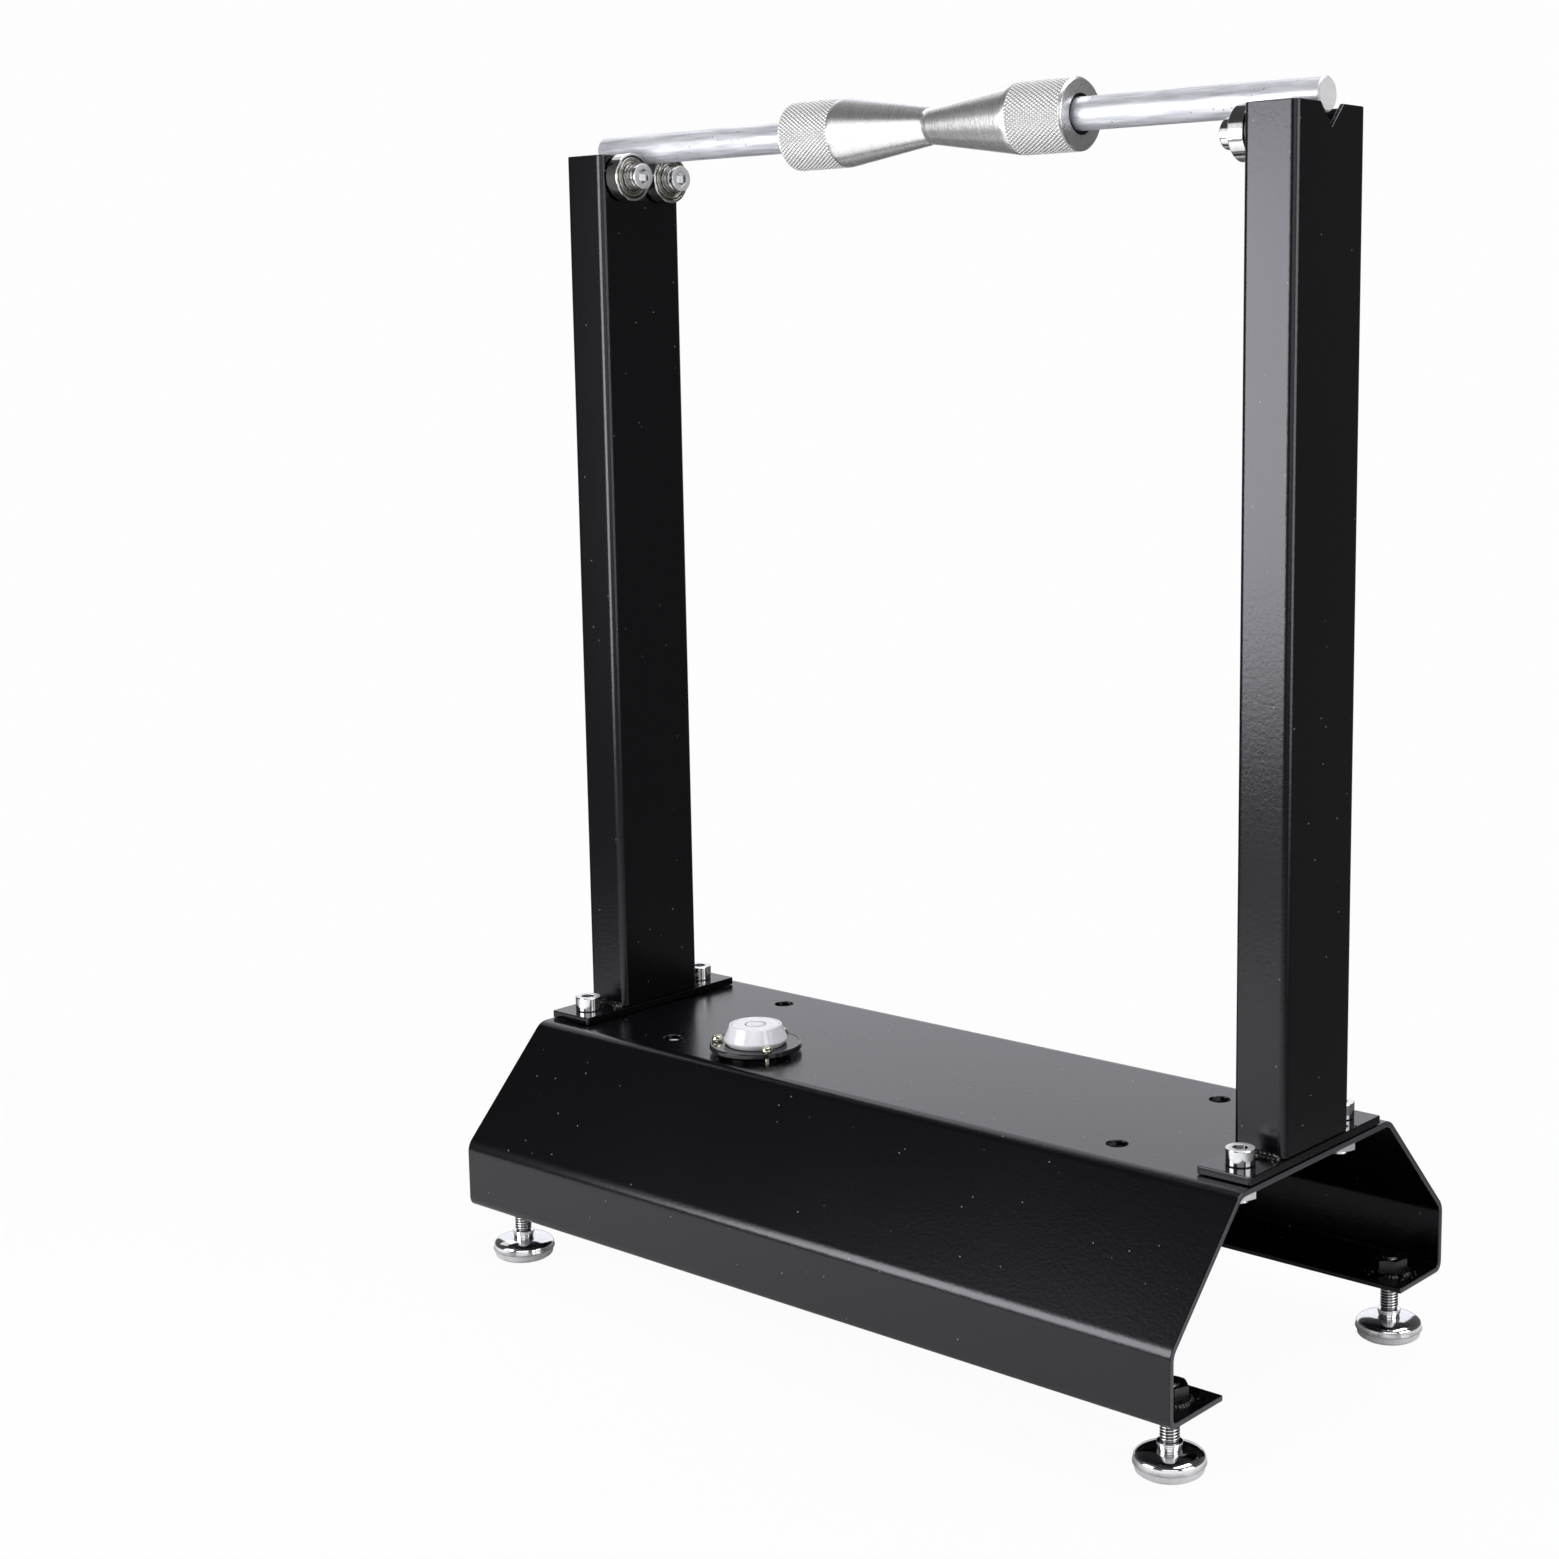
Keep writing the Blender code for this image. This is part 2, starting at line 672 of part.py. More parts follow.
def make_post_assemblies():
    """Both posts, built alike about an empty that faces the middle of the base."""
    outer = outer_ring_mesh()
    inner = inner_ring_mesh()
    balls = ball_set_mesh()
    shim = shim_mesh()
    nut = nut_mesh("frame_nut", ZINC)
    bearing_screw = socket_screw_mesh("bearing_screw", BEARING_GRIP + SCREW_PROUD)
    plate_grip = GAP + PLATE_THICKNESS + GAP + SHEET + GAP + NUT_HEIGHT
    plate_screw = socket_screw_mesh("plate_screw", plate_grip + SCREW_PROUD)
    inward = (0, -QUARTER, 0)
    for side, sign in SIDES:
        facing = 0 if sign > 0 else HALF_TURN
        stand = add_empty("post_stand_" + side, (POST_X * sign, 0, DECK_TOP), (0, 0, facing))
        make_plate(side, stand)
        make_post(side, stand)
        for end, end_sign in ENDS:
            label = f"_{end}_{side}"
            y = end_sign * sign * BEARING_Y
            z = BEARING_Z - DECK_TOP
            add_object("bearing_shim" + label, shim, ZINC, stand, (-SHIM_OFFSET, y, z), inward)
            for name, mesh, finish in (
                ("bearing_outer", outer, RING_STEEL),
                ("bearing_inner", inner, RING_STEEL),
                ("bearing_balls", balls, BALL_STEEL),
            ):
                add_object(name + label, mesh, finish, stand, (-BEARING_OFFSET, y, z), inward)
            add_object("bearing_screw" + label, bearing_screw, ZINC, stand, (-HEAD_OFFSET, y, z), inward)
            add_object("bearing_nut" + label, nut, ZINC, stand, (-TUBE_NUT_OFFSET, y, z), inward)
            plate_y = end_sign * sign * PLATE_HOLE_Y
            screw_z = PLATE_TOP + GAP - DECK_TOP
            nut_z = -SHEET - GAP - NUT_HEIGHT / 2
            add_object("plate_screw" + label, plate_screw, ZINC, stand, (0, plate_y, screw_z))
            add_object("plate_nut" + label, nut, ZINC, stand, (0, plate_y, nut_z))


# Shaft and cones


def shaft_mesh():
    half = SHAFT_LENGTH / 2
    return turned_mesh(
        "shaft",
        [
            (0, half - CENTRE_DEPTH),
            (CENTRE_RADIUS, half),
            (SHAFT_RADIUS - SHAFT_CHAMFER, half),
            (SHAFT_RADIUS, half - SHAFT_CHAMFER),
            (SHAFT_RADIUS, SHAFT_CHAMFER - half),
            (SHAFT_RADIUS - SHAFT_CHAMFER, -half),
            (CENTRE_RADIUS, -half),
            (0, CENTRE_DEPTH - half),
        ],
        MEDIUM,
    )


def cone_mesh():
    """A cone with its tip at z = 0 and its knurled end at the top, bored for the shaft."""
    tip = CONE_BORE + TIP_WALL
    shoulder = CONE_LENGTH - KNURL_LENGTH
    body = turned_mesh(
        "cone",
        [
            (CONE_RADIUS - END_CHAMFER, CONE_LENGTH),
            (CONE_RADIUS, CONE_LENGTH - END_CHAMFER),
            (CONE_RADIUS, shoulder),
            (tip, TIP_CHAMFER),
            (tip - TIP_CHAMFER, 0),
            (CONE_BORE, 0),
            (CONE_BORE, CONE_LENGTH - COUNTERSINK_DEPTH),
            (CONE_BORE + COUNTERSINK_WALL, CONE_LENGTH),
        ],
        FINE,
        ring=True,
    )
    obj = add_object("cone", body, POLISHED)
    height = CONE_RADIUS + OVERRUN
    matrix = Matrix.Translation((height / 2, 0, SET_SCREW_PLACE)) @ Matrix.Rotation(QUARTER, 4, "Y")
    radius = SET_SCREW_RADIUS + GAP
    hole = add_cutter("hole", mesh_from("hole", lambda work: cylinder(work, radius, height, matrix, SMALL)))
    cut(obj, hole)
    mesh = settled_mesh(obj, "cone")
    bpy.data.objects.remove(hole, do_unlink=True)
    return mesh


def set_screw_mesh():
    """A headless screw that stands on z = 0, with a hexagon socket in its top."""
    body = turned_mesh(
        "set_screw",
        [
            (0, SET_SCREW_LENGTH),
            (SET_SCREW_RADIUS - SET_SCREW_CHAMFER, SET_SCREW_LENGTH),
            (SET_SCREW_RADIUS, SET_SCREW_LENGTH - SET_SCREW_CHAMFER),
            (SET_SCREW_RADIUS, SET_SCREW_CHAMFER),
            (SET_SCREW_RADIUS - SET_SCREW_CHAMFER, 0),
            (0, 0),
        ],
        COARSE,
    )
    obj = add_object("set_screw", body, BLACK_STEEL)
    socket = hexagon_cutter("set_socket", SET_SOCKET_RADIUS, SET_SOCKET_DEPTH, SET_SCREW_LENGTH)
    cut(obj, socket)
    mesh = settled_mesh(obj, "set_screw")
    bpy.data.objects.remove(socket, do_unlink=True)
    return mesh


def make_shaft_and_cones():
    """The shaft, and the cones on it with their tips towards each other."""
    cone = cone_mesh()
    set_screw = set_screw_mesh()
    axis = add_empty("shaft_axis", (0, 0, SHAFT_Z))
    add_object("shaft", shaft_mesh(), GROUND_STEEL, axis, turn=(0, QUARTER, 0))
    for side, sign in SIDES:
        tip_x = CONE_MEET + sign * GAP / 2
        facing = HALF_TURN if sign > 0 else 0
        holder = add_empty("cone_axis_" + side, (tip_x, 0, 0), (0, 0, facing))
        holder.parent = axis
        add_object("cone_" + side, cone, POLISHED, holder, turn=(0, -QUARTER, 0))
        seat = (-SET_SCREW_PLACE, 0, SHAFT_RADIUS + GAP)
        add_object("set_screw_" + side, set_screw, BLACK_STEEL, holder, seat)


# Levelling feet


def foot_stud_mesh():
    """Stud, collar and domed disc in one piece, recessed below for the pad's boss."""
    rim_bottom = PAD_HEIGHT + GAP
    rim_top = rim_bottom + RIM_HEIGHT
    dome_top = rim_top + DOME_HEIGHT
    collar_top = dome_top + COLLAR_HEIGHT
    top = STAND + SHEET + GAP + NUT_HEIGHT + STUD_PROUD
    rise_shares = ((1.0, 0.0), (0.80, 0.46), (0.58, 0.80))  # of the dome's width and height
    width = FOOT_RADIUS - COLLAR_RADIUS
    dome = [
        (COLLAR_RADIUS + width * wide_share, rim_top + DOME_HEIGHT * high_share)
        for wide_share, high_share in reversed(rise_shares)
    ]
    recess = PAD_BOSS_RADIUS + GAP
    return turned_mesh(
        "foot_stud",
        [
            (0, top),
            (SHANK_RADIUS - STUD_CHAMFER, top),
            (SHANK_RADIUS, top - STUD_CHAMFER),
            (SHANK_RADIUS, collar_top),
            (COLLAR_RADIUS - COLLAR_CHAMFER, collar_top),
            (COLLAR_RADIUS, collar_top - COLLAR_CHAMFER),
            (COLLAR_RADIUS, dome_top),
            *dome,
            (FOOT_RADIUS - RIM_EDGE, rim_bottom),
            (recess, rim_bottom),
            (recess, rim_bottom + PAD_BOSS_HEIGHT),
            (0, rim_bottom + PAD_BOSS_HEIGHT),
        ],
        SMALL,
    )


def pad_mesh():
    radius = FOOT_RADIUS - PAD_INSET
    return turned_mesh(
        "foot_pad",
        [
            (0, PAD_HEIGHT + PAD_BOSS_HEIGHT),
            (PAD_BOSS_RADIUS, PAD_HEIGHT + PAD_BOSS_HEIGHT),
            (PAD_BOSS_RADIUS, PAD_HEIGHT),
            (radius, PAD_HEIGHT),
            (radius, PAD_EDGE),
            (radius - PAD_EDGE, 0),
            (0, 0),
        ],
        SMALL,
    )


def make_feet():
    stud = foot_stud_mesh()
    pad = pad_mesh()
    nut = nut_mesh("weld_nut", BLACK_STEEL)
    nut_z = STAND + SHEET + GAP + NUT_HEIGHT / 2
    for side, sign in SIDES:
        for end, end_sign in ENDS:
            label = f"_{end}_{side}"
            foot = add_empty("foot" + label, (FOOT_X * sign, FOOT_Y * end_sign, 0))
            add_object("foot_stud" + label, stud, CHROME, foot)
            add_object("foot_pad" + label, pad, PAD_PLASTIC, foot)
            add_object("weld_nut" + label, nut, BLACK_STEEL, foot, (0, 0, nut_z))


# Bubble level


def level_flange_mesh():
    bore = VIAL_FOOT_RADIUS + GAP
    step = bore + LEVEL_STEP_WALL
    body = turned_mesh(
        "level_flange",
        [
            (bore, LEVEL_FLANGE),
            (LEVEL_RADIUS - LEVEL_PLATE_CHAMFER, LEVEL_FLANGE),
            (LEVEL_RADIUS, LEVEL_FLANGE - LEVEL_PLATE_CHAMFER),
            (LEVEL_RADIUS, LEVEL_STEP_HEIGHT),
            (step, LEVEL_STEP_HEIGHT),
            (step, 0),
            (bore, 0),
        ],
        MEDIUM,
        ring=True,
    )
    obj = add_object("level_flange", body, LEVEL_PLASTIC)
    places = [(x, y, LEVEL_FLANGE / 2) for x, y in level_screw_places()]
    height = LEVEL_FLANGE + 2 * OVERRUN
    holes = cylinders_mesh("level_flange_holes", LEVEL_SHANK_RADIUS + GAP, height, places, COARSE)
    cutter = add_cutter("level_flange_holes", holes)
    cut(obj, cutter)
    mesh = settled_mesh(obj, "level_flange")
    bpy.data.objects.remove(cutter, do_unlink=True)
    return mesh


def vial_mesh():
    """A dome whose foot drops into the flange and whose shoulder rests on it."""
    top = VIAL_SEAT + VIAL_HEIGHT
    rounding = arc((VIAL_TOP_RADIUS - VIAL_EDGE, top - VIAL_EDGE), VIAL_EDGE, QUARTER, 0, CORNER_STEPS)
    return turned_mesh(
        "level_vial",
        [
            (0, top),
            *rounding,
            (VIAL_RADIUS, VIAL_SEAT + VIAL_EDGE),
            (VIAL_RADIUS, VIAL_SEAT),
            (VIAL_FOOT_RADIUS, VIAL_SEAT),
            (VIAL_FOOT_RADIUS, 0),
            (0, 0),
        ],
        MEDIUM,
    )


def level_screw_mesh():
    length = GAP + LEVEL_FLANGE + GAP + SHEET + LEVEL_SCREW_PROUD
    return turned_mesh(
        "level_screw",
        [
            (0, LEVEL_HEAD_HEIGHT),
            (LEVEL_HEAD_RADIUS - LEVEL_HEAD_EDGE, LEVEL_HEAD_HEIGHT),
            (LEVEL_HEAD_RADIUS, LEVEL_HEAD_HEIGHT - LEVEL_HEAD_EDGE),
            (LEVEL_HEAD_RADIUS, 0),
            (LEVEL_SHANK_RADIUS, 0),
            (LEVEL_SHANK_RADIUS, -length),
            (0, -length),
        ],
        COARSE,
    )


def make_level():
    level = add_empty("level", (LEVEL_X, LEVEL_Y, DECK_TOP + GAP))
    add_object("level_flange", level_flange_mesh(), LEVEL_PLASTIC, level)
    add_object("level_vial", vial_mesh(), VIAL_PLASTIC, level)
    screw = level_screw_mesh()
    for k, (x, y) in enumerate(level_screw_places()):
        add_object(f"level_screw_{k + 1}", screw, ZINC, level, (x, y, LEVEL_FLANGE + GAP))


make_base()
make_post_assemblies()
make_shaft_and_cones()
make_feet()
make_level()
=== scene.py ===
"""The looks of the wheel balancer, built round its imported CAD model. Lengths are in metres.

Most nodes get a finer piece of the same size in their place: sheet with rounded edges,
turned parts with fillets, cut threads, a knurl and weld beads. Each piece rides on the
body of the node that it stands for.
"""

import math

import bmesh
import bpy
import numpy as np
from mathutils import Matrix, Vector, noise


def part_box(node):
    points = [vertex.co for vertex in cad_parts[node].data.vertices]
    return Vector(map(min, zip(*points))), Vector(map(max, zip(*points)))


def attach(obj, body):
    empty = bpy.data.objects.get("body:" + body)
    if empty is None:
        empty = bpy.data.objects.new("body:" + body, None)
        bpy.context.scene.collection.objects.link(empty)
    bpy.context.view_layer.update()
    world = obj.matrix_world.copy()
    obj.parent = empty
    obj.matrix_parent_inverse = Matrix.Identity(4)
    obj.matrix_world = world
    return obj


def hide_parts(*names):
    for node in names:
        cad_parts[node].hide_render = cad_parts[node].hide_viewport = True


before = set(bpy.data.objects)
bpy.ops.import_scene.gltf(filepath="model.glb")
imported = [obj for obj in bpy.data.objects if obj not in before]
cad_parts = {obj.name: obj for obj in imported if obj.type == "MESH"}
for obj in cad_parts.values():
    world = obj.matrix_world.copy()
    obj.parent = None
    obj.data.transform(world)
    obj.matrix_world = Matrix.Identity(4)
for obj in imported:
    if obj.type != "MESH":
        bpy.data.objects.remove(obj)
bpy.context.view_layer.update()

GAP = 0.0003
SMOOTH_ANGLE = math.radians(32)
EDGE_ANGLE = math.radians(50)
CORNER_SHARE = 0.48
LEAST_TURN = 0.3
QUARTER = math.radians(90)
FULL_TURN = math.radians(360)
SIDES = (("left", -1), ("right", 1))
ENDS = (("front", -1), ("back", 1))
LABELS = [f"_{end}_{side}" for side, _ in SIDES for end, _ in ENDS]
ONTO_X = Matrix(((0, 0, 1), (1, 0, 0), (0, 1, 0))).to_4x4()

# Sheet base
SHEET = 0.0025
BEND_RADIUS = 0.005
WIDE_BEND_RADIUS = 0.009
BEND_STEPS = 14
DECK_WIDTH = 0.1152
SIDE_HEIGHT = 0.030
FLANGE_WIDTH = 0.036
SHEET_EDGE = 0.0005
BOLT_HOLE = 0.0045
SPARE_HOLE_SHIFT = 0.059

# Posts and foot plates
POST_WALL = 0.002
POST_CORNER = 0.0034
POST_EDGE = 0.00035
NOTCH_WIDTH = 0.0168
NOTCH_DEPTH = 0.0090
PLATE_CORNER = 0.0012
PLATE_EDGE = 0.0004
OVERRUN = 0.002

# Weld beads, with shares of their radius
BEAD_RADIUS = 0.0024
BEAD_SINK = 0.0006
BEAD_RIPPLE = 0.0021
BEAD_RINGS = 60
BEAD_STEPS = 8
BEAD_LOW = 0.86
BEAD_CREST = 0.14
BEAD_WOBBLE = 0.10
BEAD_WOBBLE_SCALE = 900
BEAD_END = 0.02
BEAD_END_POWER = 10
BEAD_SHARP = math.radians(60)

# Drops of spatter, by shares of their radius. Those beside a post's bead have a place along it
# from -1 to 1, a distance from the post in radii of the bead, and a radius.
DROP_STEPS = 4
DROP_HEIGHT = 0.7
DROP_FOOT = 0.9
DROP_SINK = 0.4
POST_SPATTER = (
    (-0.55, 1.6, 0.0007),
    (0.15, 2.2, 0.0005),
    (0.72, 1.5, 0.0009),
    (0.95, 2.6, 0.0006),
    (-0.90, 2.3, 0.0005),
)

# Screws, nuts and threads
HEAD_EDGE = 0.0006
SOCKET_FLATS = 0.0060
SOCKET_DEPTH = 0.0040
SOCKET_EDGE = 0.00018
FLUTES = 48
FLUTE_DEPTH = 0.00009
SHANK_EDGE = 0.0004
THREAD_RADIUS = 0.00395
THREAD_ROOT = 0.00338
THREAD_PITCH = 0.00125
THREAD_STEPS = 40
THREAD_ROWS = 10
THREAD_SLOPE = 1.25
THREAD_SHARP = math.radians(70)
NUT_FLATS = 0.013
NUT_BORE = 0.0040
NUT_CORNER_DROP = 0.6
NUT_FACE_INSET = 0.0002
NUT_BORE_CHAMFER = 0.0006
NUT_EDGE = 0.00012

# Turns of fasteners, in radians for each metre of their place along x and y
PLATE_SCREW_RATES = (40, 70)
CLAMP_SCREW_RATES = (0, 90)
WELD_NUT_RATES = (30, 50)
LEVEL_SCREW_TURN = 0.6

# Bearings, by radius across the face and by depth below it
RING_EDGE = 0.0005
INNER_RING_WALL = 0.0021
BEARING_BORE = 0.004
SHIELD_STEP = 0.00035
SHIELD_OUTSIDE = 0.0097
SHIELD_RIM = 0.0094
SHIELD_BEAD = 0.0087
SHIELD_GROOVE = 0.0075
SHIELD_INSIDE = 0.0064
SHIELD_DEPTH = 0.0006
SHIELD_GROOVE_DEPTH = 0.0002
INNER_RING_EDGE = 0.00025
SHIM_EDGE = 0.00015

# Shaft and cones
SHAFT_EDGE = 0.0007
CENTRE_RADIUS = 0.0006
CENTRE_DEPTH = 0.0003
FACING_RINGS = 8
FACING_WIDTH = 0.0002
FACING_DEPTH = 0.00005
# Share of painted shade in the facing grooves and the centre mark of the shaft's ends
FACING_GROOVE_SHADE = 0.7
KNURL_LENGTH = 0.029
KNURL_STARTS = 59
KNURL_LEAD = 0.00247
KNURL_SAMPLES = 8
KNURL_DEPTH = 0.00034
KNURL_FLAT_SHARE = 0.14
KNURL_FADE = 0.0004
KNURL_END_DROP = 0.45
TAPER_STEPS = 24
TIP_RADIUS = 0.0078
CONE_BORE = 0.0071
CONE_CHAMFER = 0.0010
SINK_RADIUS = 0.0084
SINK_DEPTH = 0.0005
CONE_SHARP = math.radians(28)
SCREW_HOLE = 0.0030
HOLE_SNAP = 0.6
HOLE_WALL = 2.4
HOLE_FLOOR = 0.0001
SET_SCREW_EDGE = 0.0004
SET_SCREW_FLATS = 0.0030
SET_SCREW_DEPTH = 0.0030
SET_SCREW_SOCKET_EDGE = 0.0001

# Feet
PAD_GAP = 0.0001
PAD_SIDE = 0.0012
PAD_LEAN = 0.0003
PAD_FOOT_INSET = 0.0022
PAD_EDGE = 0.0005
RIM_HEIGHT = 0.0022
RIM_TILT = 0.0004
# Share of painted shade on the side band of a foot's chrome rim, in place of a darker reflection
RIM_PAINTED_SHADE = 0.8
DISC_EDGE = 0.0003
DOME_HEIGHT = 0.0035
DOME_ROWS = 16
DOME_POWER = 0.9
COLLAR_RINGS = (0.00515, 0.00495, 0.00465)
COLLAR_HEIGHT = 0.0031
COLLAR_NECK = 0.0043
COLLAR_RING_HEIGHT = 0.0007
COLLAR_GROOVE_DEPTH = 0.0004
COLLAR_GROOVE_DROP = 0.00095

# Welds of the nuts: lumps above a level of noise, with a distance and a size that grow with it
NUT_WELD_LUMPS = 34
NUT_WELD_LEVEL = 0.36
NUT_WELD_PLACE = (0.0008, 0.0009)
NUT_WELD_SIZE = (0.0008, 0.0016)
NUT_SPATTER_DROPS = 7
NUT_SPATTER_PLACE = (0.0105, 0.003)
NUT_SPATTER_SIZE = 0.0006
NUT_WELD_CLEARANCE = 0.001
NUT_WELD_NOISE = (0.37, 90, 70)

# Bubble level
TARGET_RADIUS = 0.00465
TARGET_WIRE = 0.00024
BUBBLE_RADIUS = 0.0026
BUBBLE_SHIFT = (0.0007, 0.0004)
VIAL_TOP_RADIUS = 0.0121
VIAL_LINE_RADIUS = 0.0111
LEVEL_BORE = 0.0133
LEVEL_STEP_RADIUS = 0.0163
LEVEL_STEP_HEIGHT = 0.0015
LEVEL_FACE_DROP = 0.00022
LEVEL_HEAD = 0.0021
LEVEL_SHANK = 0.00115
VIAL_GROOVE = 0.00012
WIRE_FLATNESS = 0.4

# Pan heads, by shares of their radius and height
PAN_TOP = 0.72
PAN_SIDE = 0.35
PAN_EDGE = 0.0007
CROSS_ARM = 0.62
CROSS_HALF = 0.13
CROSS_FLOOR = 0.4
CROSS_EDGE = 0.0001

# Noise of the finishes: detail and roughness, and the range that it spreads over
TONE_NOISE = (5, 0.6)
TONE_RANGE = (0.35, 0.68)
SMEAR_SCALE = 1.7
SMEAR_NOISE = (3, 0.5)
SMEAR_RANGE = (0.3, 0.7)
BUMP_ROUGHNESS = 0.5
SPECK_CORE = 0.6

# Stage
FLOOR_PLACE = (0.0, -0.35, 0.0)
FLOOR_DROP = 0.0002
FLOOR_RINGS = (0.0, 0.4, 0.9, 1.6)
FLOOR_COLOUR = (0.80, 0.80, 0.80, 1)
FLOOR_FADE = (0.42, 0.75)
FLOOR_CLEARNESS = 0.97
WORLD_FADE = (0.10, 0.65)
CAMERA_PLACE = (0.69148, -0.83157, 0.42806)
CAMERA_YAW = math.radians(39.64)
CAMERA_PITCH = math.radians(8.68)
CAMERA_ROLL = math.radians(-0.513)
SENSOR = 36.0
FOCAL = 57.20
SHIFT_X = -0.10009
SHIFT_Y = -0.03506


# Measures, paths and meshes


def middle(node):
    low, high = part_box(node)
    return (low + high) / 2


def extent(node):
    low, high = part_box(node)
    return high - low


def rounded(points, radius, steps=4, closed=False):
    """A path of straight runs with its corners rounded; a third value sets a corner's own radius."""
    made = []
    count = len(points)
    for i, point in enumerate(points):
        here = Vector(point[:2])
        wanted = point[2] if len(point) > 2 else radius
        if wanted == 0 or (not closed and i in (0, count - 1)):
            made.append((here.x, here.y))
            continue
        back = Vector(points[i - 1][:2]) - here
        ahead = Vector(points[(i + 1) % count][:2]) - here
        half = back.angle(ahead) / 2
        reach = min(wanted / math.tan(half), CORNER_SHARE * back.length, CORNER_SHARE * ahead.length)
        start = here + back.normalized() * reach
        end = here + ahead.normalized() * reach
        for k in range(steps + 1):
            t = k / steps
            spot = start * (1 - t) ** 2 + here * (2 * t * (1 - t)) + end * t**2
            made.append((spot.x, spot.y))
    return made


def inset(points, distance, closed=False):
    """The line a distance to the left of a path."""
    made = []
    count = len(points)
    for i, point in enumerate(points):
        here = Vector(point)
        before = Vector(points[i - 1]) if closed or i > 0 else None
        after = Vector(points[(i + 1) % count]) if closed or i < count - 1 else None
        runs = []
        if before is not None:
            runs.append((here - before).normalized())
        if after is not None:
            runs.append((after - here).normalized())
        along = sum(runs, Vector((0, 0))).normalized()
        stretch = 1 / max(LEAST_TURN, along.dot(runs[0]))
        made.append((here.x - along.y * distance * stretch, here.y + along.x * distance * stretch))
    return made


def rectangle(start_u, start_v, end_u, end_v):
    """The corners from a first one to the one across from it."""
    return [(start_u, start_v), (end_u, start_v), (end_u, end_v), (start_u, end_v)]


def mirrored(half):
    """A profile's upper half with its image below z = 0."""
    return half + [(u, -v, *rest) for u, v, *rest in reversed(half)]


def skin(work, rows):
    """Faces between neighbouring rings of vertices."""
    for one, other in zip(rows, rows[1:]):
        for k in range(len(one)):
            j = (k + 1) % len(one)
            work.faces.new((one[k], one[j], other[j], other[k]))


def mesh_of(name, work):
    bmesh.ops.recalc_face_normals(work, faces=work.faces)
    mesh = bpy.data.meshes.new(name)
    work.to_mesh(mesh)
    work.free()
    return mesh


def wall_mesh(name, outer, inner, low, high, closed=False):
    """The wall between two lines, drawn along Z, as a closed mesh."""
    work = bmesh.new()
    lines = [(line, w) for w in (low, high) for line in (outer, inner)]
    rows = [[work.verts.new((u, v, w)) for u, v in line] for line, w in lines]
    near_out, near_in, far_out, far_in = rows
    pairs = ((near_out, far_out), (near_in, far_in), (near_out, near_in), (far_out, far_in))
    count = len(outer)
    for i in range(count if closed else count - 1):
        j = (i + 1) % count
        for one, other in pairs:
            work.faces.new((one[i], one[j], other[j], other[i]))
    if not closed:
        for i in (0, -1):
            work.faces.new((near_out[i], far_out[i], far_in[i], near_in[i]))
    return mesh_of(name, work)


def prism_mesh(name, outline, low, high):
    work = bmesh.new()
    rows = [[work.verts.new((u, v, w)) for u, v in outline] for w in (low, high)]
    work.faces.new(rows[0])
    work.faces.new(rows[1])
    skin(work, rows)
    return mesh_of(name, work)


def ring_points(radius, count):
    angles = [FULL_TURN * k / count for k in range(count)]
    return [(radius * math.cos(angle), radius * math.sin(angle)) for angle in angles]


def hexagon(flats):
    return ring_points(flats / 2 / math.cos(FULL_TURN / 12), 6)


def lathe_mesh(name, profile, steps):
    """A profile of (radius, height) turned about Z; one that leaves the axis out closes on itself."""
    work = bmesh.new()
    rows = []
    for radius, height in profile:
        circle = ring_points(radius, steps) if radius > 0 else [(0, 0)]
        rows.append([work.verts.new((x, y, height)) for x, y in circle])
    pairs = list(zip(rows, rows[1:]))
    if profile[0][0] > 0:
        pairs.append((rows[-1], rows[0]))
    for upper, lower in pairs:
        for k in range(steps):
            j = (k + 1) % steps
            corners = [row[i % len(row)] for row, i in ((upper, k), (upper, j), (lower, j), (lower, k))]
            work.faces.new(list(dict.fromkeys(corners)))
    return mesh_of(name, work)


def joined(name, *meshes):
    work = bmesh.new()
    for mesh in meshes:
        work.from_mesh(mesh)
    mesh = bpy.data.meshes.new(name)
    work.to_mesh(mesh)
    work.free()
    return mesh


def moved(mesh, matrix):
    copy = mesh.copy()
    copy.transform(matrix)
    return copy


def placed(mesh, place):
    return moved(mesh, Matrix.Translation(place))


def along_x(place, sign=1):
    """The way to a place for a mesh whose Z is to point along X, or back along it."""
    return Matrix.Translation(place) @ Matrix.Rotation(QUARTER * sign, 4, "Y")


def askew(place, x_rate, y_rate, start=0):
    """A turn about Z that differs from one fastener to the next."""
    return Matrix.Rotation(place.x * x_rate + place.y * y_rate + start, 4, "Z")


def smoothed(mesh, sharp):
    """The mesh shaded smooth, apart from edges sharper than an angle."""
    mesh.shade_smooth()
    mesh.set_sharp_from_angle(angle=sharp)
    return mesh


def new_object(name, data):
    obj = bpy.data.objects.new(name, data)
    bpy.context.scene.collection.objects.link(obj)
    return obj


def modify(obj, kind, **settings):
    modifier = obj.modifiers.new(kind, kind)
    for name, value in settings.items():
        setattr(modifier, name, value)


